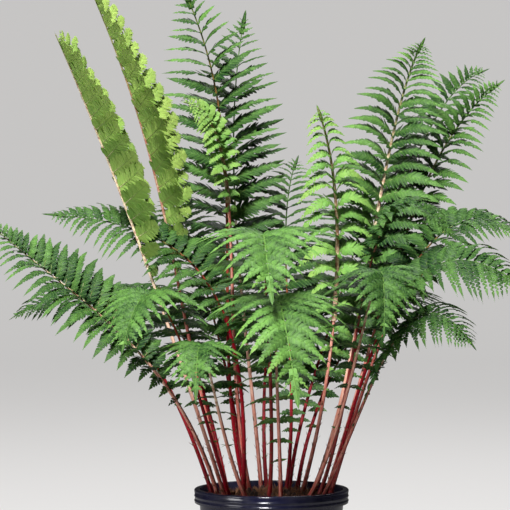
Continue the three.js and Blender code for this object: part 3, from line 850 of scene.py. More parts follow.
def plus(tree, base, mask, amount):
    """A base, and a mask times an amount."""
    return calc(tree, "ADD", base, times(tree, mask, amount))


def blend(tree, factor, a, b):
    """One colour over another by a mask."""
    a, b = (v if isinstance(v, bpy.types.NodeSocket) else (*v, 1.0) for v in (a, b))
    return add(tree, "ShaderNodeMix", {0: factor, 6: a, 7: b}, data_type="RGBA").outputs[2]


def reading(tree, name, output="Fac"):
    """A mesh attribute's value."""
    return add(tree, "ShaderNodeAttribute", attribute_name=name).outputs[output]


def object_place(tree):
    """The piece's own coordinates, in metres."""
    return add(tree, "ShaderNodeTexCoord").outputs["Object"]


def stretched(tree, place, scale):
    """A place with each axis scaled. A pattern there is drawn out along the small ones."""
    return add(tree, "ShaderNodeMapping", {"Vector": place, "Scale": scale}).outputs[0]


def mottle_group():
    """A shared group: soft patches of a given scale, from 0 to 1 between two noise levels."""
    found = bpy.data.node_groups.get("Mottle")
    if found:
        return found
    tree = bpy.data.node_groups.new("Mottle", "ShaderNodeTree")
    tree.interface.new_socket(name="Vector", in_out="INPUT", socket_type="NodeSocketVector")
    for name in ("Scale", "Low", "High"):
        tree.interface.new_socket(name=name, in_out="INPUT", socket_type="NodeSocketFloat")
    tree.interface.new_socket(name="Mask", in_out="OUTPUT", socket_type="NodeSocketFloat")
    given = tree.nodes.new("NodeGroupInput").outputs
    noise = add(tree, "ShaderNodeTexNoise", {
        "Vector": given["Vector"], "Scale": given["Scale"], "Detail": 4.0, "Roughness": 0.6})
    ranged = add(tree, "ShaderNodeMapRange", {
        "Value": noise.outputs["Fac"], "From Min": given["Low"], "From Max": given["High"]})
    add(tree, "NodeGroupOutput", {"Mask": ranged.outputs["Result"]})
    return tree


def mottle(tree, place, scale, low=0.35, high=0.65):
    """The mottle group's mask at a place."""
    inputs = {"Vector": place, "Scale": scale, "Low": low, "High": high}
    return add(tree, "ShaderNodeGroup", inputs, node_tree=mottle_group()).outputs["Mask"]


def new_material(name):
    """A material with one Principled shader: its tree and that shader's inputs."""
    made = bpy.data.materials.new(name)
    made.use_nodes = True
    tree = made.node_tree
    return made, tree, tree.nodes["Principled BSDF"].inputs


def bumped(tree, height, strength, distance):
    """A Bump node's normal for a height mask. distance is in metres."""
    inputs = {"Height": height, "Strength": strength, "Distance": distance}
    return add(tree, "ShaderNodeBump", inputs).outputs["Normal"]


def pinnule_veins(tree, along, across):
    """Where a pinnule's veins are: its midvein, and fainter side veins that run forward to
    the teeth, at equal steps of the place along less a share of the place across."""
    off_middle = calc(tree, "ABSOLUTE", across)
    run = calc(tree, "SUBTRACT", times(tree, along, SIDE_VEINS),
               times(tree, off_middle, VEIN_SLANT))
    side_vein = calc(tree, "LESS_THAN", calc(tree, "PINGPONG", run, 0.5), SIDE_VEIN_WIDE)
    midvein = calc(tree, "LESS_THAN", off_middle, MIDVEIN_WIDE)
    return calc(tree, "MAXIMUM", times(tree, side_vein, SIDE_VEIN_STRENGTH), midvein)


def frond_green(settings):
    """Leaf tissue and ribs. tone is the tissue's lightness, in part painted shade and painted
    light through each frond's tint, rib marks ribs, red their redness and pale how far it
    fades. grain holds the place along and across a pinnule, which is
    lighter towards its root and has veins. The lightness is raised to a power, so that only
    the lightest tissue is light."""
    made, tree, shader = new_material("frond_green")
    place = object_place(tree)
    patches = mottle(tree, place, scale=55.0)
    speckle = mottle(tree, place, scale=900.0, low=0.3, high=0.7)
    # tone carries painted shade and painted light, frond by frond, through each frond's tint.
    tone = reading(tree, "tone")
    grain = add(tree, "ShaderNodeSeparateXYZ", {0: reading(tree, "grain", "Vector")}).outputs
    rootward = calc(tree, "SUBTRACT", ROOT_PART, grain["X"])
    lightness = plus(tree, times(tree, tone, LIGHT_OF_TONE), patches, LIGHT_OF_PATCHES)
    lightness = calc(tree, "MAXIMUM", plus(tree, lightness, rootward, LIGHT_OF_ROOT), 0.0)
    lightness = calc(tree, "POWER", lightness, LIGHT_POWER)
    tissue = blend(tree, lightness, settings.deep_green, settings.light_green)
    tissue = blend(tree, calc(tree, "SUBTRACT", tone, 1.0), tissue, settings.young_green)
    vein = pinnule_veins(tree, grain["X"], grain["Y"])
    tissue = blend(tree, times(tree, vein, 0.35), tissue, settings.vein_green)
    tissue = blend(tree, times(tree, speckle, 0.12), tissue, settings.deep_green)
    flecks = calc(tree, "ADD", 0.35, mottle(tree, place, scale=260.0, low=0.4, high=0.6))
    paler = calc(tree, "MULTIPLY", reading(tree, "pale"), flecks)
    flushed = blend(tree, paler, settings.rachis_red, settings.rachis_pale)
    ribs = blend(tree, 0.5, tissue, settings.rib_green)
    ribs = blend(tree, reading(tree, "red"), ribs, flushed)
    height = calc(tree, "SUBTRACT", times(tree, speckle, 0.3), vein)
    set_inputs(tree, shader, {
        "Base Color": blend(tree, reading(tree, "rib"), tissue, ribs),
        "Roughness": plus(tree, 0.46, speckle, amount=0.16),
        "Normal": bumped(tree, height, strength=0.25, distance=0.0002),
        "Subsurface Weight": 0.08,
        "Subsurface Radius": (0.5, 1.0, 0.2),
        "Subsurface Scale": 0.002,
        "Specular IOR Level": 0.2,
    })
    return made


def stalk_red(settings):
    """Wine-red stalks, streaked along their length. pale marks the painted highlight, pink on
    the side towards the key light, ivory where that goes on to ivory, foot the brown of the
    feet, and scale the papery scales."""
    made, tree, shader = new_material("stalk_red")
    lengthwise = stretched(tree, reading(tree, "grain", "Vector"), (1.0, 1.0, 0.035))
    streaks = mottle(tree, lengthwise, scale=2.6, low=0.45, high=0.68)
    fine = mottle(tree, lengthwise, scale=8.0, low=0.3, high=0.7)
    red = blend(tree, fine, settings.wine_dark, settings.wine_red)
    red = blend(tree, times(tree, streaks, settings.streak), red, settings.streak_pink)
    # The painted highlight: pink and ivory on the stalk's side towards the key light.
    paler = blend(tree, streaks, settings.highlight_red, settings.highlight_pink)
    paler = blend(tree, reading(tree, "ivory"), paler, settings.highlight_ivory)
    red = blend(tree, reading(tree, "pale"), red, paler)
    red = blend(tree, reading(tree, "foot"), red, settings.foot_brown)
    set_inputs(tree, shader, {
        "Base Color": blend(tree, reading(tree, "scale"), red, settings.scale_brown),
        "Roughness": plus(tree, 0.28, fine, amount=0.2),
        "Normal": bumped(tree, fine, strength=0.3, distance=0.0003),
        "Specular IOR Level": 0.14,
    })
    return made


def crown_brown(settings):
    """Fibrous brown rhizome, darker in streaks along its fibres and in patches. scale marks the
    papery scales.
    """
    made, tree, shader = new_material("crown_brown")
    place = object_place(tree)
    fibres = mottle(tree, stretched(tree, place, (1.0, 1.0, 0.25)), scale=420.0)
    brown = blend(tree, mottle(tree, place, scale=90.0), settings.crown_dark, settings.crown_light)
    brown = blend(tree, times(tree, fibres, 0.45), brown, settings.crown_dark)
    set_inputs(tree, shader, {
        "Base Color": blend(tree, reading(tree, "scale"), brown, settings.scale_brown),
        "Roughness": 0.85,
        "Normal": bumped(tree, fibres, strength=0.6, distance=0.0008),
    })
    return made


def mix_brown(settings):
    """Moist potting mix: near-black crumbs with lighter bark, shinier where it is damp. bark
    marks the chips."""
    made, tree, shader = new_material("mix_brown")
    place = object_place(tree)
    crumbs = mottle(tree, place, scale=700.0)
    damp = mottle(tree, place, scale=60.0)
    peat = blend(tree, crumbs, settings.peat_dark, settings.peat_light)
    bark = blend(tree, crumbs, settings.bark_dark, settings.bark_light)
    set_inputs(tree, shader, {
        "Base Color": blend(tree, reading(tree, "bark"), peat, bark),
        "Roughness": calc(tree, "SUBTRACT", 0.95, times(tree, damp, 0.25)),
        "Normal": bumped(tree, crumbs, strength=0.8, distance=0.001),
    })
    return made


def pot_black(settings):
    """Glossy moulded plastic with a thin film of dust and faint scuffs round it."""
    made, tree, shader = new_material("pot_black")
    place = object_place(tree)
    dust = mottle(tree, place, scale=35.0, low=0.42, high=0.75)
    scuffs = mottle(tree, stretched(tree, place, (0.15, 0.15, 4.0)), scale=260.0, low=0.5, high=0.8)
    worn = plus(tree, times(tree, dust, 0.14), scuffs, amount=0.1)
    set_inputs(tree, shader, {
        "Base Color": blend(tree, times(tree, dust, 0.16), settings.plastic, settings.dust),
        "Roughness": calc(tree, "ADD", 0.13, worn),
        "Normal": bumped(tree, scuffs, strength=0.05, distance=0.0003),
    })
    return made


def pale_floor(settings):
    """The studio floor: plain pale matte, a little brighter to the camera than it is lit."""
    made, tree, shader = new_material("pale_floor")
    seen = add(tree, "ShaderNodeLightPath").outputs["Is Camera Ray"]
    set_inputs(tree, shader, {
        "Base Color": (*settings.floor, 1.0),
        "Roughness": 0.9,
        "Emission Color": blend(tree, seen, (0.0, 0.0, 0.0), settings.floor),
        "Emission Strength": FLOOR_GLOW,
    })
    return made


# The pot

def pot_inside(height):
    """The pot's inner radius at a height, a straight taper."""
    return mix(INNER_FOOT, INNER_TOP, (height - POT_FLOOR) / (POT_HEIGHT - POT_FLOOR))


def pot_profile(bead):
    """From the underside's centre out, up the wall, round the skirt and the rim, and down
    inside to the floor, with two half-round beads on the skirt. Each corner is an arc, or is
    eased by a millimetre or less."""
    skirt, roof = POT_HEIGHT - SKIRT_DEPTH, POT_HEIGHT - RIM_DEPTH
    outer, inside = POT_RIM_RADIUS, POT_RIM_RADIUS - SKIRT_WALL
    edge = outer - SKIRT_WALL / 2 - 0.2
    levels = (*WALL_LEVELS, skirt, roof - 1)
    points = [
        [(0, 0)],
        arc((POT_FOOT_RADIUS - FOOT_BEVEL, FOOT_BEVEL), FOOT_BEVEL, -90, -5),
        [(pot_inside(height) + POT_WALL, height) for height in levels],
        [(pot_inside(roof) + POT_WALL + 0.6, roof), (inside - 0.4, roof)],
        [(inside, roof - 1), (inside, skirt + 0.5)],
        arc((edge, skirt + 0.6), SKIRT_EDGE_ROUND, 180, 350),
        *(arc((outer - bead, skirt + height), bead, -80, 80) for height in POT_BEADS),
        arc((outer - RIM_ROUND, POT_HEIGHT - RIM_ROUND), RIM_ROUND, 0, 90),
        arc((INNER_TOP + 1.2, POT_HEIGHT - LIP_ROUND), LIP_ROUND, 90, 170),
        [(pot_inside(height), height) for height in WALL_LEVELS[::-1]],
        arc((INNER_FOOT - FLOOR_ROUND, POT_FLOOR + FLOOR_ROUND), FLOOR_ROUND, 0, -90),
        [(0, POT_FLOOR)],
    ]
    return np.concatenate([np.asarray(part, float) for part in points])


def drain_cutter():
    """Upright closed tubes where the drain holes are."""
    angle = round_angles(DRAIN_HOLES)
    foot = np.stack([np.cos(angle), np.sin(angle), np.zeros(DRAIN_HOLES)], -1) * DRAIN_CIRCLE
    centres = foot[:, None] + UP * np.array([-POT_FLOOR, 2 * POT_FLOOR])[:, None]
    radius = np.full(centres.shape[:2], DRAIN_RADIUS)
    side = np.broadcast_to([1.0, 0.0, 0.0], centres.shape)
    up = np.broadcast_to([0.0, 1.0, 0.0], centres.shape)
    shape = tubes(centres, side, up, radius, radius, DRAIN_SECTIONS)
    mesh = new_mesh("drain_cutter", shape["points"] * MM, shape["triangles"])
    return placed("drain_cutter", mesh)


def with_drains(pot):
    """Cuts the drain holes through the pot's floor."""
    cutter = drain_cutter()
    cut = pot.modifiers.new("drains", "BOOLEAN")
    cut.operation, cut.solver, cut.object = "DIFFERENCE", "EXACT", cutter
    bpy.context.view_layer.update()
    depsgraph = bpy.context.evaluated_depsgraph_get()
    finished = bpy.data.meshes.new_from_object(pot.evaluated_get(depsgraph))
    pot.modifiers.clear()
    pot.data = finished
    bpy.data.objects.remove(cutter)


# Soil and clump

def soil_shape(relief):
    """The fill, turned about Z with a recess for the clump. The ring of open soil between
    clump and pot rises by half a sine from its edges, and is crumbled by the relief."""
    edge = SOIL_LEVEL - SOIL_EDGE_DROP
    open_ring = np.linspace(CLUMP_RADIUS + 2 * FIT, pot_inside(edge) - 2 * FIT, OPEN_RINGS)[::-1]
    top = SOIL_LEVEL + SOIL_CREST * (np.sin(np.linspace(0, np.pi, OPEN_RINGS)) - 1)
    profile = np.concatenate([
        [(0, POT_FLOOR + FIT), (INNER_FOOT - 2 * FIT, POT_FLOOR + FIT)],
        np.stack([open_ring, top], -1),
        [(CLUMP_RADIUS + FIT - CLUMP_TAPER, CLUMP_BOTTOM - FIT), (0, CLUMP_BOTTOM - FIT)],
    ])
    points, triangles = turned(profile, SOIL_SECTIONS)
    high = points[:, 2] > edge
    points[high, 2] += relief * crumble(points[high], size=9.0, seed=0.7)
    return ungrained(points, triangles, bark=0.0)


def chips(places, size, seed):
    """Bark chips: each a closed box of eight corners, longer than it is wide and thick, turned
    at random, with every corner moved a little."""
    count = len(places)
    rng = np.random.default_rng(seed)
    corners = np.array([(x, y, z) for z in (-1, 1) for y in (-1, 1) for x in (-1, 1)], float)
    scaled = corners * (size * rng.uniform(*CHIP_SIZES_VARY, (count, 1, 1))) * CHIP_SHAPE
    scaled = scaled * rng.uniform(*CHIP_CORNERS_VARY, scaled.shape)
    turn = np.broadcast_to(rng.uniform(0, 2 * np.pi, (count, 1)), scaled.shape[:2])
    tilt = np.broadcast_to(rng.normal(0, CHIP_TILT, (count, 1)), scaled.shape[:2])
    tilted = turned_about(scaled, np.array([1.0, 0.0, 0.0]), tilt)
    points = turned_about(tilted, UP, turn) + places[:, None]
    faces = np.array([
        (0, 2, 3), (0, 3, 1), (4, 5, 7), (4, 7, 6), (0, 1, 5), (0, 5, 4),
        (2, 6, 7), (2, 7, 3), (0, 4, 6), (0, 6, 2), (1, 3, 7), (1, 7, 5)])
    return ungrained(*copies(points, faces), bark=1.0)


def clump_height(x, y):
    """The clump's top: half an ellipse, with knobs of two crossing waves and a slanting one
    that die out towards its edge."""
    share = np.hypot(x, y) / CLUMP_RADIUS
    dome = CLUMP_RISE * np.sqrt(np.clip(1 - share ** 2, 0, 1))
    knobs = np.sin(x * 0.17 + 0.6) * np.sin(y * 0.19 - 0.4) + 0.6 * np.sin(x * 0.31 - y * 0.27)
    inwards = np.clip((1 - share) * KNOBS_FROM_EDGE, 0, 1)
    return CLUMP_EDGE_LEVEL + dome + KNOB_HEIGHT * knobs * inwards


def clump_shape(relief):
    """The mound on a polar grid, closed below, with fibrous relief."""
    profile = np.concatenate([
        [(0, CLUMP_BOTTOM), (CLUMP_RADIUS - CLUMP_TAPER, CLUMP_BOTTOM)],
        np.stack([np.linspace(CLUMP_RADIUS, 1.0, CLUMP_RINGS),
                  np.full(CLUMP_RINGS, CLUMP_EDGE_LEVEL)], -1),
        [(0, CLUMP_EDGE_LEVEL)],
    ])
    points, triangles = turned(profile, CLUMP_SECTIONS)
    top = points[:, 2] > CLUMP_BOTTOM + 1
    x, y = points[top, 0], points[top, 1]
    points[top, 2] = clump_height(x, y) + relief * crumble(points[top], size=7.0, seed=2.0)
    return ungrained(points, triangles, scale=0.0)


def spots_on_clump(rng, count, least, most):
    """Places spread evenly over the clump's top, each at its height, out to a share of its
    radius. The radius is the root of an even draw, since a ring's area grows with it."""
    radius = CLUMP_RADIUS * most * np.sqrt(rng.uniform(least, 1, count))
    angle = rng.uniform(0, 2 * np.pi, count)
    x, y = radius * np.cos(angle), radius * np.sin(angle)
    return np.stack([x, y, clump_height(x, y)], -1)


def old_stubs(count, seed):
    """Stubs of last year's stalks: short tapered tubes, leaning outwards from the middle."""
    rng = np.random.default_rng(seed)
    foot = spots_on_clump(rng, count, *STUBS_REACH)
    lean = unit(np.concatenate([foot[:, :2], np.full((count, 1), CLUMP_RADIUS)], -1))
    length = rng.uniform(*STUB_LENGTHS, (count, 1)) * STUB_STATIONS
    centres = (foot - STUBS_SUNK * UP)[:, None] + lean[:, None] * length[..., None]
    wide = rng.uniform(*STUB_RADII, (count, 1)) * STUB_TAPER
    side = unit(np.cross(lean, [0.3, 0.5, 0.1]))
    up = np.cross(lean, side)
    across, up = (np.broadcast_to(way[:, None], centres.shape) for way in (side, up))
    made = tubes(centres, across, up, wide, wide, STUB_SECTIONS)
    return ungrained(made["points"], made["triangles"], scale=0.0)


def crown_scales(count, seed):
    """Papery scales that stand about the clump, leaning at random."""
    rng = np.random.default_rng(seed)
    root = spots_on_clump(rng, count, *CROWN_SCALES_REACH) - CROWN_SCALES_SUNK * UP
    outward = unit(rng.normal(0, 1, (count, 3)) * (1, 1, 0.3) + UP * 1.1)
    normal = unit(np.cross(outward, rng.normal(0, 1, (count, 3))))
    length = rng.uniform(*CROWN_SCALE_LENGTHS, count)
    width = rng.uniform(*CROWN_SCALE_WIDTHS, count)
    made = leaflets(SCALE, root, outward, normal, length, width, CROWN_SCALE_THICK,
                    sag=rng.uniform(*CROWN_SCALE_SAGS, count))
    return ungrained(made["points"], made["triangles"], scale=1.0)


# Stalks and blades

def stalk_shape(row, number, settings):
    """A stalk: a tube along the bare stretch of the midline, grooved above, swollen at its
    foot by a falling exponential, with papery scales thinning out upwards. foot is how brown
    it is. pale is a painted highlight, how far its side towards the key light is painted pink,
    and ivory how far that pink goes on to ivory, both more towards its top."""
    share = np.linspace(0, 1, STALK_STATIONS)
    at, _, across, face = frame_on(row, row["bare"] * share)
    run = np.concatenate([[0], np.cumsum(np.linalg.norm(np.diff(at, axis=0), axis=-1))])
    radius = mix(STALK_RADIUS, STALK_TOP_RADIUS, share)
    radius = radius * (1 + settings.swell * np.exp(-run / SWELL_HEIGHT))
    tube = tubes(at[None], across[None], face[None], radius[None], radius[None],
                 STALK_SECTIONS, settings.groove)
    tube["grain"][:, 2] += GRAIN_SHIFT * number

    def all_round(values):
        return per_station(values[None], STALK_SECTIONS)

    middle = np.stack([all_round(axis) for axis in at.T], -1)
    # Painted highlight: the stalk's side towards the key light is painted pale pink and ivory.
    towards_light = (tube["points"] - middle) @ HIGHLIGHT_SIDE / all_round(radius)
    foot = all_round(np.clip(1 - run * MM / settings.foot_length, 0, 1) ** 1.5)
    ivory = all_round(row["pale"] ** 2 * share ** 1.5)
    paler = min(HIGHLIGHT_STRENGTH * row["pale"], 1) * np.clip(HIGHLIGHT_AT_FOOT + HIGHLIGHT_RISE * share, 0, 1)
    lit = np.clip(HIGHLIGHT_EDGE * towards_light - HIGHLIGHT_FROM + IVORY_REACH * ivory, 0, 1)
    tube = valued(tube, foot=foot, scale=0.0, pale=all_round(paler) * lit, ivory=ivory)
    return joined([tube, stalk_scales(row, number, settings.scales)])


def stalk_scales(row, number, count):
    """Papery scales round a stalk's lower part, pointing upwards and a little out."""
    rng = np.random.default_rng(STALK_SCALES_SEED + number)
    height = rng.uniform(0, 1, count) ** STALK_SCALES_LOW * STALK_SCALES_TO
    at, along, across, face = frame_on(row, row["bare"] * height)
    angle = rng.uniform(0, 2 * np.pi, count)[:, None]
    out = across * np.cos(angle) + face * np.sin(angle)
    radius = mix(STALK_RADIUS, STALK_TOP_RADIUS, height)[:, None]
    root = at + out * radius * STALK_SCALES_SUNK
    outward = unit(along + out * rng.uniform(*STALK_SCALES_OUT, (count, 1)))
    normal = unit(out - outward * dot(out, outward))
    length = rng.uniform(*STALK_SCALE_LENGTHS, count)
    width = rng.uniform(*STALK_SCALE_WIDTHS, count)
    made = leaflets(SCALE, root, outward, normal, length, width, STALK_SCALE_THICK,
                    sag=rng.uniform(*STALK_SCALE_SAGS, count))
    return valued(made, foot=0.0, scale=1.0, pale=0.0, ivory=0.0)


def tissue(template, tone, *ways, **more):
    """Leaflets of green tissue, each of its own tone."""
    made = leaflets(template, *ways, **more)
    return valued(made, tone=np.repeat(tone, len(template[0])), rib=0.0, red=0.0, pale=0.0)


def rachis_shape(row, number):
    """The rachis: a flattened tube along the blade, grooved above, red at first and then
    green, and swollen by a falling exponential where it leaves the stalk. Past the last
    pinnae it lies in one long leaflet, where the tissue runs together."""
    place = np.linspace(RACHIS_FROM, 1, RACHIS_STATIONS)
    at, _, across, face = frame_on(row, blade_t(row, place))
    place = np.maximum(place, 0)
    joint = np.exp(-place / JOINT_LENGTH)
    wide = row["stout"] * mix(RIB_RADIUS, RIB_TIP_RADIUS, place) + JOINT_SWELL * joint
    high = wide * mix(RACHIS_HIGH, 1, joint)
    tube = tubes(at[None], across[None], face[None], wide[None], high[None],
                 RACHIS_SECTIONS, RACHIS_GROOVE)
    tube["grain"][:, 2] += GRAIN_SHIFT * number
    red = np.clip(1 - (place / row["blush"] - RED_FULL_TO) / RED_FADES_OVER, 0, 1)
    red = per_station(red[None], RACHIS_SECTIONS)
    tube = valued(tube, tone=row["tint"], rib=1.0, red=red, pale=row["pale"])
    at, _, _, face = frame_on(row, blade_t(row, np.array([END_LEAFLET_FROM, 1.0])))
    onward = at[1:] - at[:1]
    length = np.linalg.norm(onward, axis=-1)
    onward, length = onward / length, length + END_LEAFLET
    upright = unit(face[:1] - onward * dot(face[:1], onward))
    end = tissue(PINNULE, [row["tint"]], at[:1], onward, upright, length,
                 END_LEAFLET_WIDE * length, END_LEAFLET_THICK)
    return joined([tube, end])


def pinna_outline(row, u):
    """A pinna's half width at u as a share of its widest: it rises just past the rachis, and
    draws out to its tip as a power of one less a power of u. A blunt one's tip is round."""
    shoulder = np.minimum(1, PINNA_SHOULDER + PINNA_RISE * u)
    return shoulder * (1 - u ** PINNA_POWER) ** mix(POINTED, ROUNDED, row["blunt"])


def pinna_ribs(row, pinnae):
    """The pinnae's midribs: thin tubes that taper along the pinna, sunk into the tissue."""
    u = np.linspace(0.0, PINNA_RIB_TO, PINNA_RIB_STATIONS)
    spread = {name: np.repeat(values[:, None], len(u), axis=1) for name, values in pinnae.items()}
    at, _, side, normal, _ = pinna_frames(row, spread, np.broadcast_to(u, spread["length"].shape))
    size = np.clip(pinnae["length"] / FULL_RIB_LENGTH, RIB_SIZE_LEAST, 1)[:, None]
    radius = size * mix(PINNA_RIB_RADIUS, PINNA_RIB_TIP_RADIUS, u)
    made = tubes(at, side, normal, radius, radius * PINNA_RIB_HIGH, PINNA_RIB_SECTIONS)
    red = np.clip(1 - pinnae["place"][:, None] / row["blush"], 0, 1)
    red = per_station(red * np.clip(1 - u / RIB_RED_TO, 0, 1), PINNA_RIB_SECTIONS)
    return valued(made, tone=row["tint"], rib=1.0, red=red, pale=row["pale"])


def pinna_tips(row, number, pinnae, settings):
    """The leaflet that ends each pinna. A pinna that is too short for pinnules is this
    leaflet alone."""
    short = pinnae["length"] < settings.simple_below / MM
    u = np.where(short, 0.0, TIP_FROM)
    at, tangent, _, normal, _ = pinna_frames(row, pinnae, u)
    seed = chance(number + TIP_DRAW, np.arange(len(u)))
    width = np.where(short, 1, pinna_outline(row, TIP_FROM)) * pinnae["width"]
    return tissue(TIP_LEAFLET, tissue_tone(row, pinnae, 1, seed), at, tangent, normal,
                  pinnae["length"] * (1 - u), width, TIP_THICK, sag=TIP_SAG, seed=seed)


def tissue_tone(row, pinnae, u, seed):
    """How light the green is: the frond's tint, which is in part its own green and in part
    painted shade and painted light, lighter towards its tip as the square of the place and
    towards its pinnae's tips, a little different in each pinna and in each pinnule, and past
    1 where it is young."""
    outwards = TONE_OF_PLACE * np.clip(pinnae["place"], 0, 1) ** 2 + TONE_OF_TIP * u
    varied = TONE_PER_PINNA * pinnae["shade"] + TONE_PER_PINNULE * (seed - 0.5)
    young = max(0, row["tint"] - 1)
    # The tint is in part the frond's own green and in part painted shade and painted light.
    return np.clip(TONE_OF_TINT * row["tint"] + outwards + varied + young, 0, 2)


def pinnule_rows(row, number, pinnae, settings):
    """Pinnules on both sides of every pinna, crowding towards its tip. Each stands out from
    the midrib at its angle, as long as the pinna's outline leaves room for, raised a little
    at its root and sagging to its tip, and twisted a few degrees by chance. Those that are
    short have a simpler outline."""
    count = np.round(pinnae["length"] / (settings.spacing / MM)).astype(int)
    short = pinnae["length"] < settings.simple_below / MM
    count = np.where(short, 0, np.clip(count, PINNULES_LEAST, PINNULES_MOST))
    of_pinna = np.repeat(np.arange(len(count)), count)
    order = np.arange(len(of_pinna)) - np.repeat(np.cumsum(count) - count, count)
    hand = np.repeat([1.0, -1.0], len(of_pinna))
    of_pinna, order = np.tile(of_pinna, 2), np.tile(order, 2)
    total = count[of_pinna]
    share = (order + 0.5 + OPPOSITE_SHIFT * hand) / (total + OPPOSITE_SHIFT)
    u = PINNULES_FROM + PINNULES_OVER * (1 - (1 - share) ** settings.crowding)
    own = {name: values[of_pinna] for name, values in pinnae.items()}
    at, tangent, side, normal, square = pinna_frames(row, own, u)
    seed = [chance(number * PINNULE_DRAWS + kind, np.arange(len(hand))) for kind in range(5)]
    angle = settings.pinnule_angle - ANGLE_CLOSES * u + ANGLE_VARIES * (seed[0] - 0.5)
    angle = np.radians(angle)[:, None]
    outward = tangent * np.cos(angle) + side * (hand[:, None] * np.sin(angle))
    outward = unit(outward + normal * (RAISED + RAISED_VARIES * (seed[1][:, None] - 0.5)))
    upright = unit(normal - outward * dot(normal, outward))
    upright = turned_about(upright, outward, TWIST_VARIES * (seed[2] - 0.5))
    steep = np.sin(angle[:, 0])
    reach = own["width"] / 2 * mix(TURNED_REACH, 1, square) * pinna_outline(row, u)
    length = reach / steep * (REACH_LEAST + REACH_VARIES * seed[3])
    step = own["length"] / total * settings.crowding * (1 - share) ** (settings.crowding - 1)
    width = np.minimum(step * steep * settings.fill, length + WIDER_THAN_LONG)
    tone = tissue_tone(row, own, u, seed[1])
    thick = THICK_LEAST + THICK_OF_WIDTH * width
    sag = SAG_LEAST + SAG_VARIES * seed[4]
    ways = (at, outward, upright, length, width, thick, sag, SWEPT * hand * own["side"], seed[0])
    toothed = length >= settings.toothed / MM
    return joined([
        tissue(PINNULE, tone[toothed], *(values[toothed] for values in ways)),
        tissue(SMALL_PINNULE, tone[~toothed], *(values[~toothed] for values in ways)),
    ])


def blade_shape(row, number, settings):
    """A frond's blade: its rachis, and the ribs, pinnules and tips of its pinnae."""
    corners = solid_points(f"frond_{number + 1:02d}_blade")
    pinnae = lacy_pinnae(row, number, corners, settings)
    return joined([
        rachis_shape(row, number),
        pinna_ribs(row, pinnae),
        pinna_tips(row, number, pinnae, settings),
        pinnule_rows(row, number, pinnae, settings),
    ])


# What a user may change

def colour_value(name, description, value):
    """A colour."""
    return bpy.props.FloatVectorProperty(
        name=name, description=description, subtype="COLOR", size=3, min=0, max=1, default=value)


def number_value(name, description, value, **limits):
    """A number, with its unit or subtype and its limits."""
    return bpy.props.FloatProperty(name=name, description=description, default=value, **limits)


def length_value(name, description, value):
    """A length, in metres."""
    return number_value(name, description, value, unit="LENGTH", min=0, precision=5)


def share_value(name, description, value):
    """A share, from 0 to 1."""
    return number_value(name, description, value, subtype="FACTOR", min=0, max=1)


def power_value(name, description, value):
    """A light's power, in watts."""
    return number_value(name, description, value, unit="POWER", min=0)


def count_value(name, description, value, least, most):
    """A whole number."""
    return bpy.props.IntProperty(
        name=name, description=description, default=value, min=least, max=most)


class PotSettings(bpy.types.PropertyGroup):
    """The pot's roundness and finish"""

    sides: count_value("Sides", "Flat sides round the pot", 144, 24, 360)
    bead: length_value("Bead", "How far the skirt's two beads stand out", 0.0008)
    plastic: colour_value("Plastic", "The pot's blue-black", (0.010, 0.010, 0.032))
    dust: colour_value("Dust", "The film of dust on the pot", (0.20, 0.19, 0.20))


class SoilSettings(bpy.types.PropertyGroup):
    """The potting mix and the rhizome clump"""

    relief: length_value("Relief", "Height of the crumbs and knobs", 0.0009)
    chips: count_value("Chips", "Bark chips on the open soil", 260, 0, 2000)
    stubs: count_value("Stubs", "Stubs of old stalks on the clump", 46, 0, 200)
    scales: count_value("Scales", "Papery scales on the clump", 900, 0, 4000)
    peat_dark: colour_value("Wet peat", "Darkest potting mix", (0.010, 0.007, 0.005))
    peat_light: colour_value("Peat", "Lightest potting mix", (0.045, 0.030, 0.020))
    bark_dark: colour_value("Wet bark", "Darkest bark", (0.035, 0.018, 0.010))
    bark_light: colour_value("Bark", "Lightest bark", (0.16, 0.085, 0.045))
    # crown_dark is the darkest brown of the rhizome's patches and fibre streaks
    crown_dark: colour_value("Clump hollows", "Darkest rhizome", (0.018, 0.009, 0.006))
    crown_light: colour_value("Clump", "Lightest rhizome", (0.10, 0.045, 0.025))
    scale_brown: colour_value("Scales", "Papery scales on the clump", (0.20, 0.09, 0.04))


class StalkSettings(bpy.types.PropertyGroup):
    """The stalks' forms and reds"""

    scales: count_value("Scales", "Papery scales on each stalk", 42, 0, 300)
    swell: share_value("Swell", "How much thicker the foot is", 0.3)
    groove: share_value("Groove", "Depth of the groove above", 0.14)
    foot_length: length_value("Brown foot", "How far up the foot is brown", 0.022)
    streak: share_value("Streaks", "Strength of the pale streaks", 0.08)
    wine_dark: colour_value("Dark red", "The stalks' darkest red", (0.09, 0.0005, 0.004))
    wine_red: colour_value("Red", "The stalks' wine red", (0.36, 0.002, 0.014))
    streak_pink: colour_value("Streak", "The pale streaks", (0.50, 0.16, 0.13))
    # The colours of the painted highlight on the stalks' side towards the key light
    highlight_red: colour_value("Faded red", "A pale stalk's darker streaks", (0.60, 0.13, 0.09))
    highlight_pink: colour_value("Faded pink", "A pale stalk's lighter streaks", (0.95, 0.58, 0.46))
    highlight_ivory: colour_value("Faded ivory", "The palest stalks' tops", (0.90, 0.72, 0.52))
    foot_brown: colour_value("Foot", "The stalks' brown feet", (0.030, 0.010, 0.008))
    scale_brown: colour_value("Scales", "The papery scales", (0.22, 0.10, 0.05))


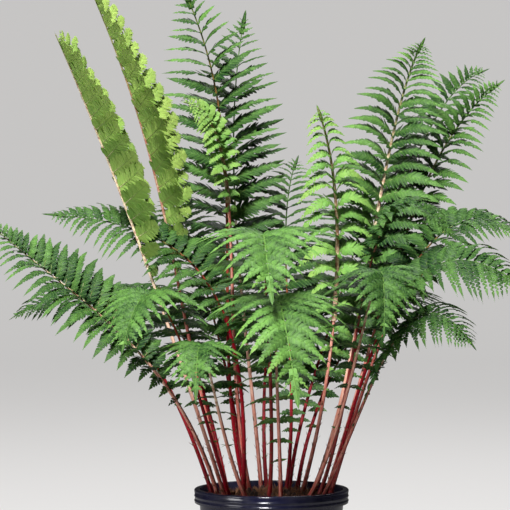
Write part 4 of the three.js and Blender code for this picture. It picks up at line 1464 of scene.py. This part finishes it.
class BladeSettings(bpy.types.PropertyGroup):
    """The blades' pinnae and pinnules, and their greens"""

    pinnae: number_value("Pinnae", "How many pinnae for each of the solid's", 1.5, min=1, max=3)
    keep_short: share_value(
        "Keep short", "How much of a crowded solid pinna's shortening stays", 0.35)
    wide_low: number_value(
        "Width at the foot", "A pinna's width there for each of the solid's", 1.6, min=0)
    wide_high: number_value(
        "Width at the tip", "A pinna's width there for each of the solid's", 0.85, min=0)
    wide_under: share_value("Width below", "A low pinna's width for each of the foot's", 0.5)
    widest: share_value("Widest", "The most that a pinna may be wide, of its length", 0.56)
    low_pairs: count_value("Low pairs", "Small pairs of pinnae below the blade", 4, 0, 8)
    roll_varies: number_value("Roll varies", "How far a pinna may roll", 0.28, subtype="ANGLE")
    spacing: length_value("Pinnule spacing", "From one pinnule to the next on a pinna", 0.0036)
    crowding: number_value(
        "Crowding", "How closer set pinnules are towards a pinna's tip", 1.4, min=1)
    toothed: length_value("Toothed from", "Pinnules this long have teeth", 0.0056)
    simple_below: length_value("Simple below", "Pinnae shorter than this are one leaflet", 0.009)
    pinnule_angle: number_value(
        "Pinnule angle", "From the midrib, in degrees", 70, min=30, max=90)
    fill: number_value("Fill", "How much of its spacing a pinnule fills", 1.3, min=0.2, max=2)
    deep_green: colour_value("Deep green", "The darkest leaf tissue", (0.005, 0.032, 0.008))
    light_green: colour_value("Light green", "The lightest leaf tissue", (0.175, 0.380, 0.076))
    young_green: colour_value("Young green", "The youngest leaf tissue", (0.38, 0.54, 0.12))
    vein_green: colour_value("Veins", "The veins' green", (0.20, 0.40, 0.08))
    rib_green: colour_value("Ribs", "The green of ribs", (0.13, 0.25, 0.045))
    rachis_red: colour_value("Red rachis", "The rachis's red", (0.26, 0.045, 0.022))
    rachis_pale: colour_value("Pale rachis", "The ivory of a pale rachis", (0.85, 0.70, 0.48))


class StageSettings(bpy.types.PropertyGroup):
    """The floor and the lights"""

    floor: colour_value("Floor", "The studio's pale floor", (0.25, 0.246, 0.243))
    key_light: power_value("Key light", "The main softbox", 180)
    fill_light: power_value("Fill light", "The softbox low at the left", 28)
    back_light: power_value("Back light", "The softbox behind", 24)
    sky: share_value("Sky", "Strength of the light from all round", 0.04)


# Operators

class FERN_OT_pot(bpy.types.Operator):
    """Builds the glossy dark pot with its beaded skirt and drain holes"""

    bl_idname = "fern.pot"
    bl_label = "Pot"

    def execute(self, context):
        settings = context.scene.fern_pot
        shape = ungrained(*turned(pot_profile(settings.bead / MM), settings.sides))
        pot = piece("nursery_pot", shape, pot_black(settings), ["pot"], smooth=True)
        with_drains(pot)
        return {"FINISHED"}


class FERN_OT_soil(bpy.types.Operator):
    """Builds the potting mix and its bark chips"""

    bl_idname = "fern.soil"
    bl_label = "Potting mix"

    def execute(self, context):
        settings = context.scene.fern_soil
        rng = np.random.default_rng(CHIP_PLACES_SEED)
        inner, outer = CLUMP_RADIUS + CHIPS_OFF_CLUMP, pot_inside(SOIL_LEVEL) - CHIPS_OFF_POT
        ring = rng.uniform(inner, outer, settings.chips)
        angle = rng.uniform(0, 2 * np.pi, settings.chips)
        level = np.full(settings.chips, SOIL_LEVEL - CHIPS_SUNK)
        places = np.stack([ring * np.cos(angle), ring * np.sin(angle), level], -1)
        fill = soil_shape(settings.relief / MM)
        shape = joined([fill, chips(places, CHIP_SIZE, CHIP_SHAPES_SEED)])
        piece("potting_mix", shape, mix_brown(settings), ["soil"])
        return {"FINISHED"}


class FERN_OT_clump(bpy.types.Operator):
    """Builds the scaly rhizome clump that the stalks rise from"""

    bl_idname = "fern.clump"
    bl_label = "Rhizome clump"

    def execute(self, context):
        settings = context.scene.fern_soil
        shape = joined([
            clump_shape(settings.relief / MM),
            old_stubs(settings.stubs, STUBS_SEED),
            crown_scales(settings.scales, CROWN_SCALES_SEED),
        ])
        piece("scaly_crown", shape, crown_brown(settings), ["rhizome_clump"])
        return {"FINISHED"}


class FERN_OT_stalks(bpy.types.Operator):
    """Builds the wine-red stalks"""

    bl_idname = "fern.stalks"
    bl_label = "Stalks"

    def execute(self, context):
        settings = context.scene.fern_stalk
        material = stalk_red(settings)
        for number, row in enumerate(FRONDS):
            shape = stalk_shape(row, number, settings)
            name = f"frond_{number + 1:02d}"
            piece(f"{name}_red_stalk", shape, material, [f"{name}_stipe"], smooth=True)
        return {"FINISHED"}


class FERN_OT_blades(bpy.types.Operator):
    """Builds the fronds' blades with their toothed pinnules"""

    bl_idname = "fern.blades"
    bl_label = "Blades"

    def execute(self, context):
        settings = context.scene.fern_blade
        material = frond_green(settings)
        for number, row in enumerate(FRONDS):
            shape = blade_shape(row, number, settings)
            name = f"frond_{number + 1:02d}"
            piece(f"{name}_lacy_blade", shape, material, [f"{name}_blade"])
        return {"FINISHED"}


class FERN_OT_stage(bpy.types.Operator):
    """Sets the pale studio floor, the soft lights and the camera"""

    bl_idname = "fern.stage"
    bl_label = "Stage"

    def execute(self, context):
        settings = context.scene.fern_stage
        studio_floor(settings)
        for name, (place, size) in SOFTBOXES.items():
            softbox(name, place, size, getattr(settings, name))
        context.scene.view_settings.view_transform = "Standard"
        world = bpy.data.worlds.new("studio")
        world.use_nodes = True
        sky = world.node_tree.nodes["Background"].inputs
        sky["Color"].default_value = (*SKY_COLOUR, 1.0)
        sky["Strength"].default_value = settings.sky
        context.scene.world = world
        camera = placed("camera", bpy.data.cameras.new("camera"))
        camera.data.lens = CAMERA_LENS
        camera.data.sensor_width = CAMERA_SENSOR
        camera.data.clip_end = CAMERA_SEES_TO
        camera.location = [v * MM for v in CAMERA_AT]
        camera.rotation_euler = (math.pi / 2, 0, 0)
        context.scene.camera = camera
        return {"FINISHED"}


def studio_floor(settings):
    """A round floor that sweeps up into a wall far out: a profile turned about Z, in metres,
    without the fan that would close it above."""
    flat = [(radius, 0.0) for radius in FLOOR_RINGS]
    edge = FLOOR_RINGS[-1]
    sweep = arc((edge, FLOOR_SWEEP), FLOOR_SWEEP, -90, 0, steps=16)
    top = 2 * FLOOR_SWEEP
    profile = [[(0.0, 0.0)], flat, sweep[1:], [(edge + FLOOR_SWEEP, top), (0.0, top)]]
    points, triangles = turned(np.concatenate(profile), FLOOR_SECTIONS)
    mesh = new_mesh("studio_floor", points, triangles[:-FLOOR_SECTIONS], smooth=True)
    mesh.flip_normals()
    mesh.materials.append(pale_floor(settings))
    placed("studio_floor", mesh)


def softbox(name, place, size, power):
    """A square area light that faces the plant's middle."""
    light = bpy.data.lights.new(name, "AREA")
    light.size, light.energy = size, power
    made = placed(name, light)
    made.location = place
    towards = Vector(PLANT_MIDDLE) - Vector(place)
    made.rotation_euler = towards.to_track_quat("-Z", "Y").to_euler()


class FERN_PT_panel(bpy.types.Panel):
    """Lists the fern's pieces and their settings"""

    bl_label = "Potted Lady Fern"
    bl_idname = "FERN_PT_panel"
    bl_space_type = "VIEW_3D"
    bl_region_type = "UI"
    bl_category = "Fern"

    def draw(self, context):
        for operators, group in PANEL_ROWS:
            box = self.layout.box()
            for operator in operators:
                box.operator(operator)
            settings = getattr(context.scene, group)
            for name in settings.__annotations__:
                box.prop(settings, name)


PANEL_ROWS = (
    (("fern.pot",), "fern_pot"),
    (("fern.soil", "fern.clump"), "fern_soil"),
    (("fern.stalks",), "fern_stalk"),
    (("fern.blades",), "fern_blade"),
    (("fern.stage",), "fern_stage"),
)

SETTINGS = {
    "fern_pot": PotSettings,
    "fern_soil": SoilSettings,
    "fern_stalk": StalkSettings,
    "fern_blade": BladeSettings,
    "fern_stage": StageSettings,
}

CLASSES = (
    FERN_OT_pot, FERN_OT_soil, FERN_OT_clump, FERN_OT_stalks, FERN_OT_blades, FERN_OT_stage,
    FERN_PT_panel,
)


def register():
    """Registers the settings and the classes."""
    for name, group in SETTINGS.items():
        bpy.utils.register_class(group)
        setattr(bpy.types.Scene, name, bpy.props.PointerProperty(type=group))
    for made in CLASSES:
        bpy.utils.register_class(made)


def unregister():
    """Takes them away again, the last first."""
    for made in reversed(CLASSES):
        bpy.utils.unregister_class(made)
    for name, group in reversed(SETTINGS.items()):
        delattr(bpy.types.Scene, name)
        bpy.utils.unregister_class(group)


def main():
    """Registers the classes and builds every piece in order."""
    register()
    bpy.ops.fern.pot()
    bpy.ops.fern.soil()
    bpy.ops.fern.clump()
    bpy.ops.fern.stalks()
    bpy.ops.fern.blades()
    bpy.ops.fern.stage()


if __name__ == "__main__":
    main()
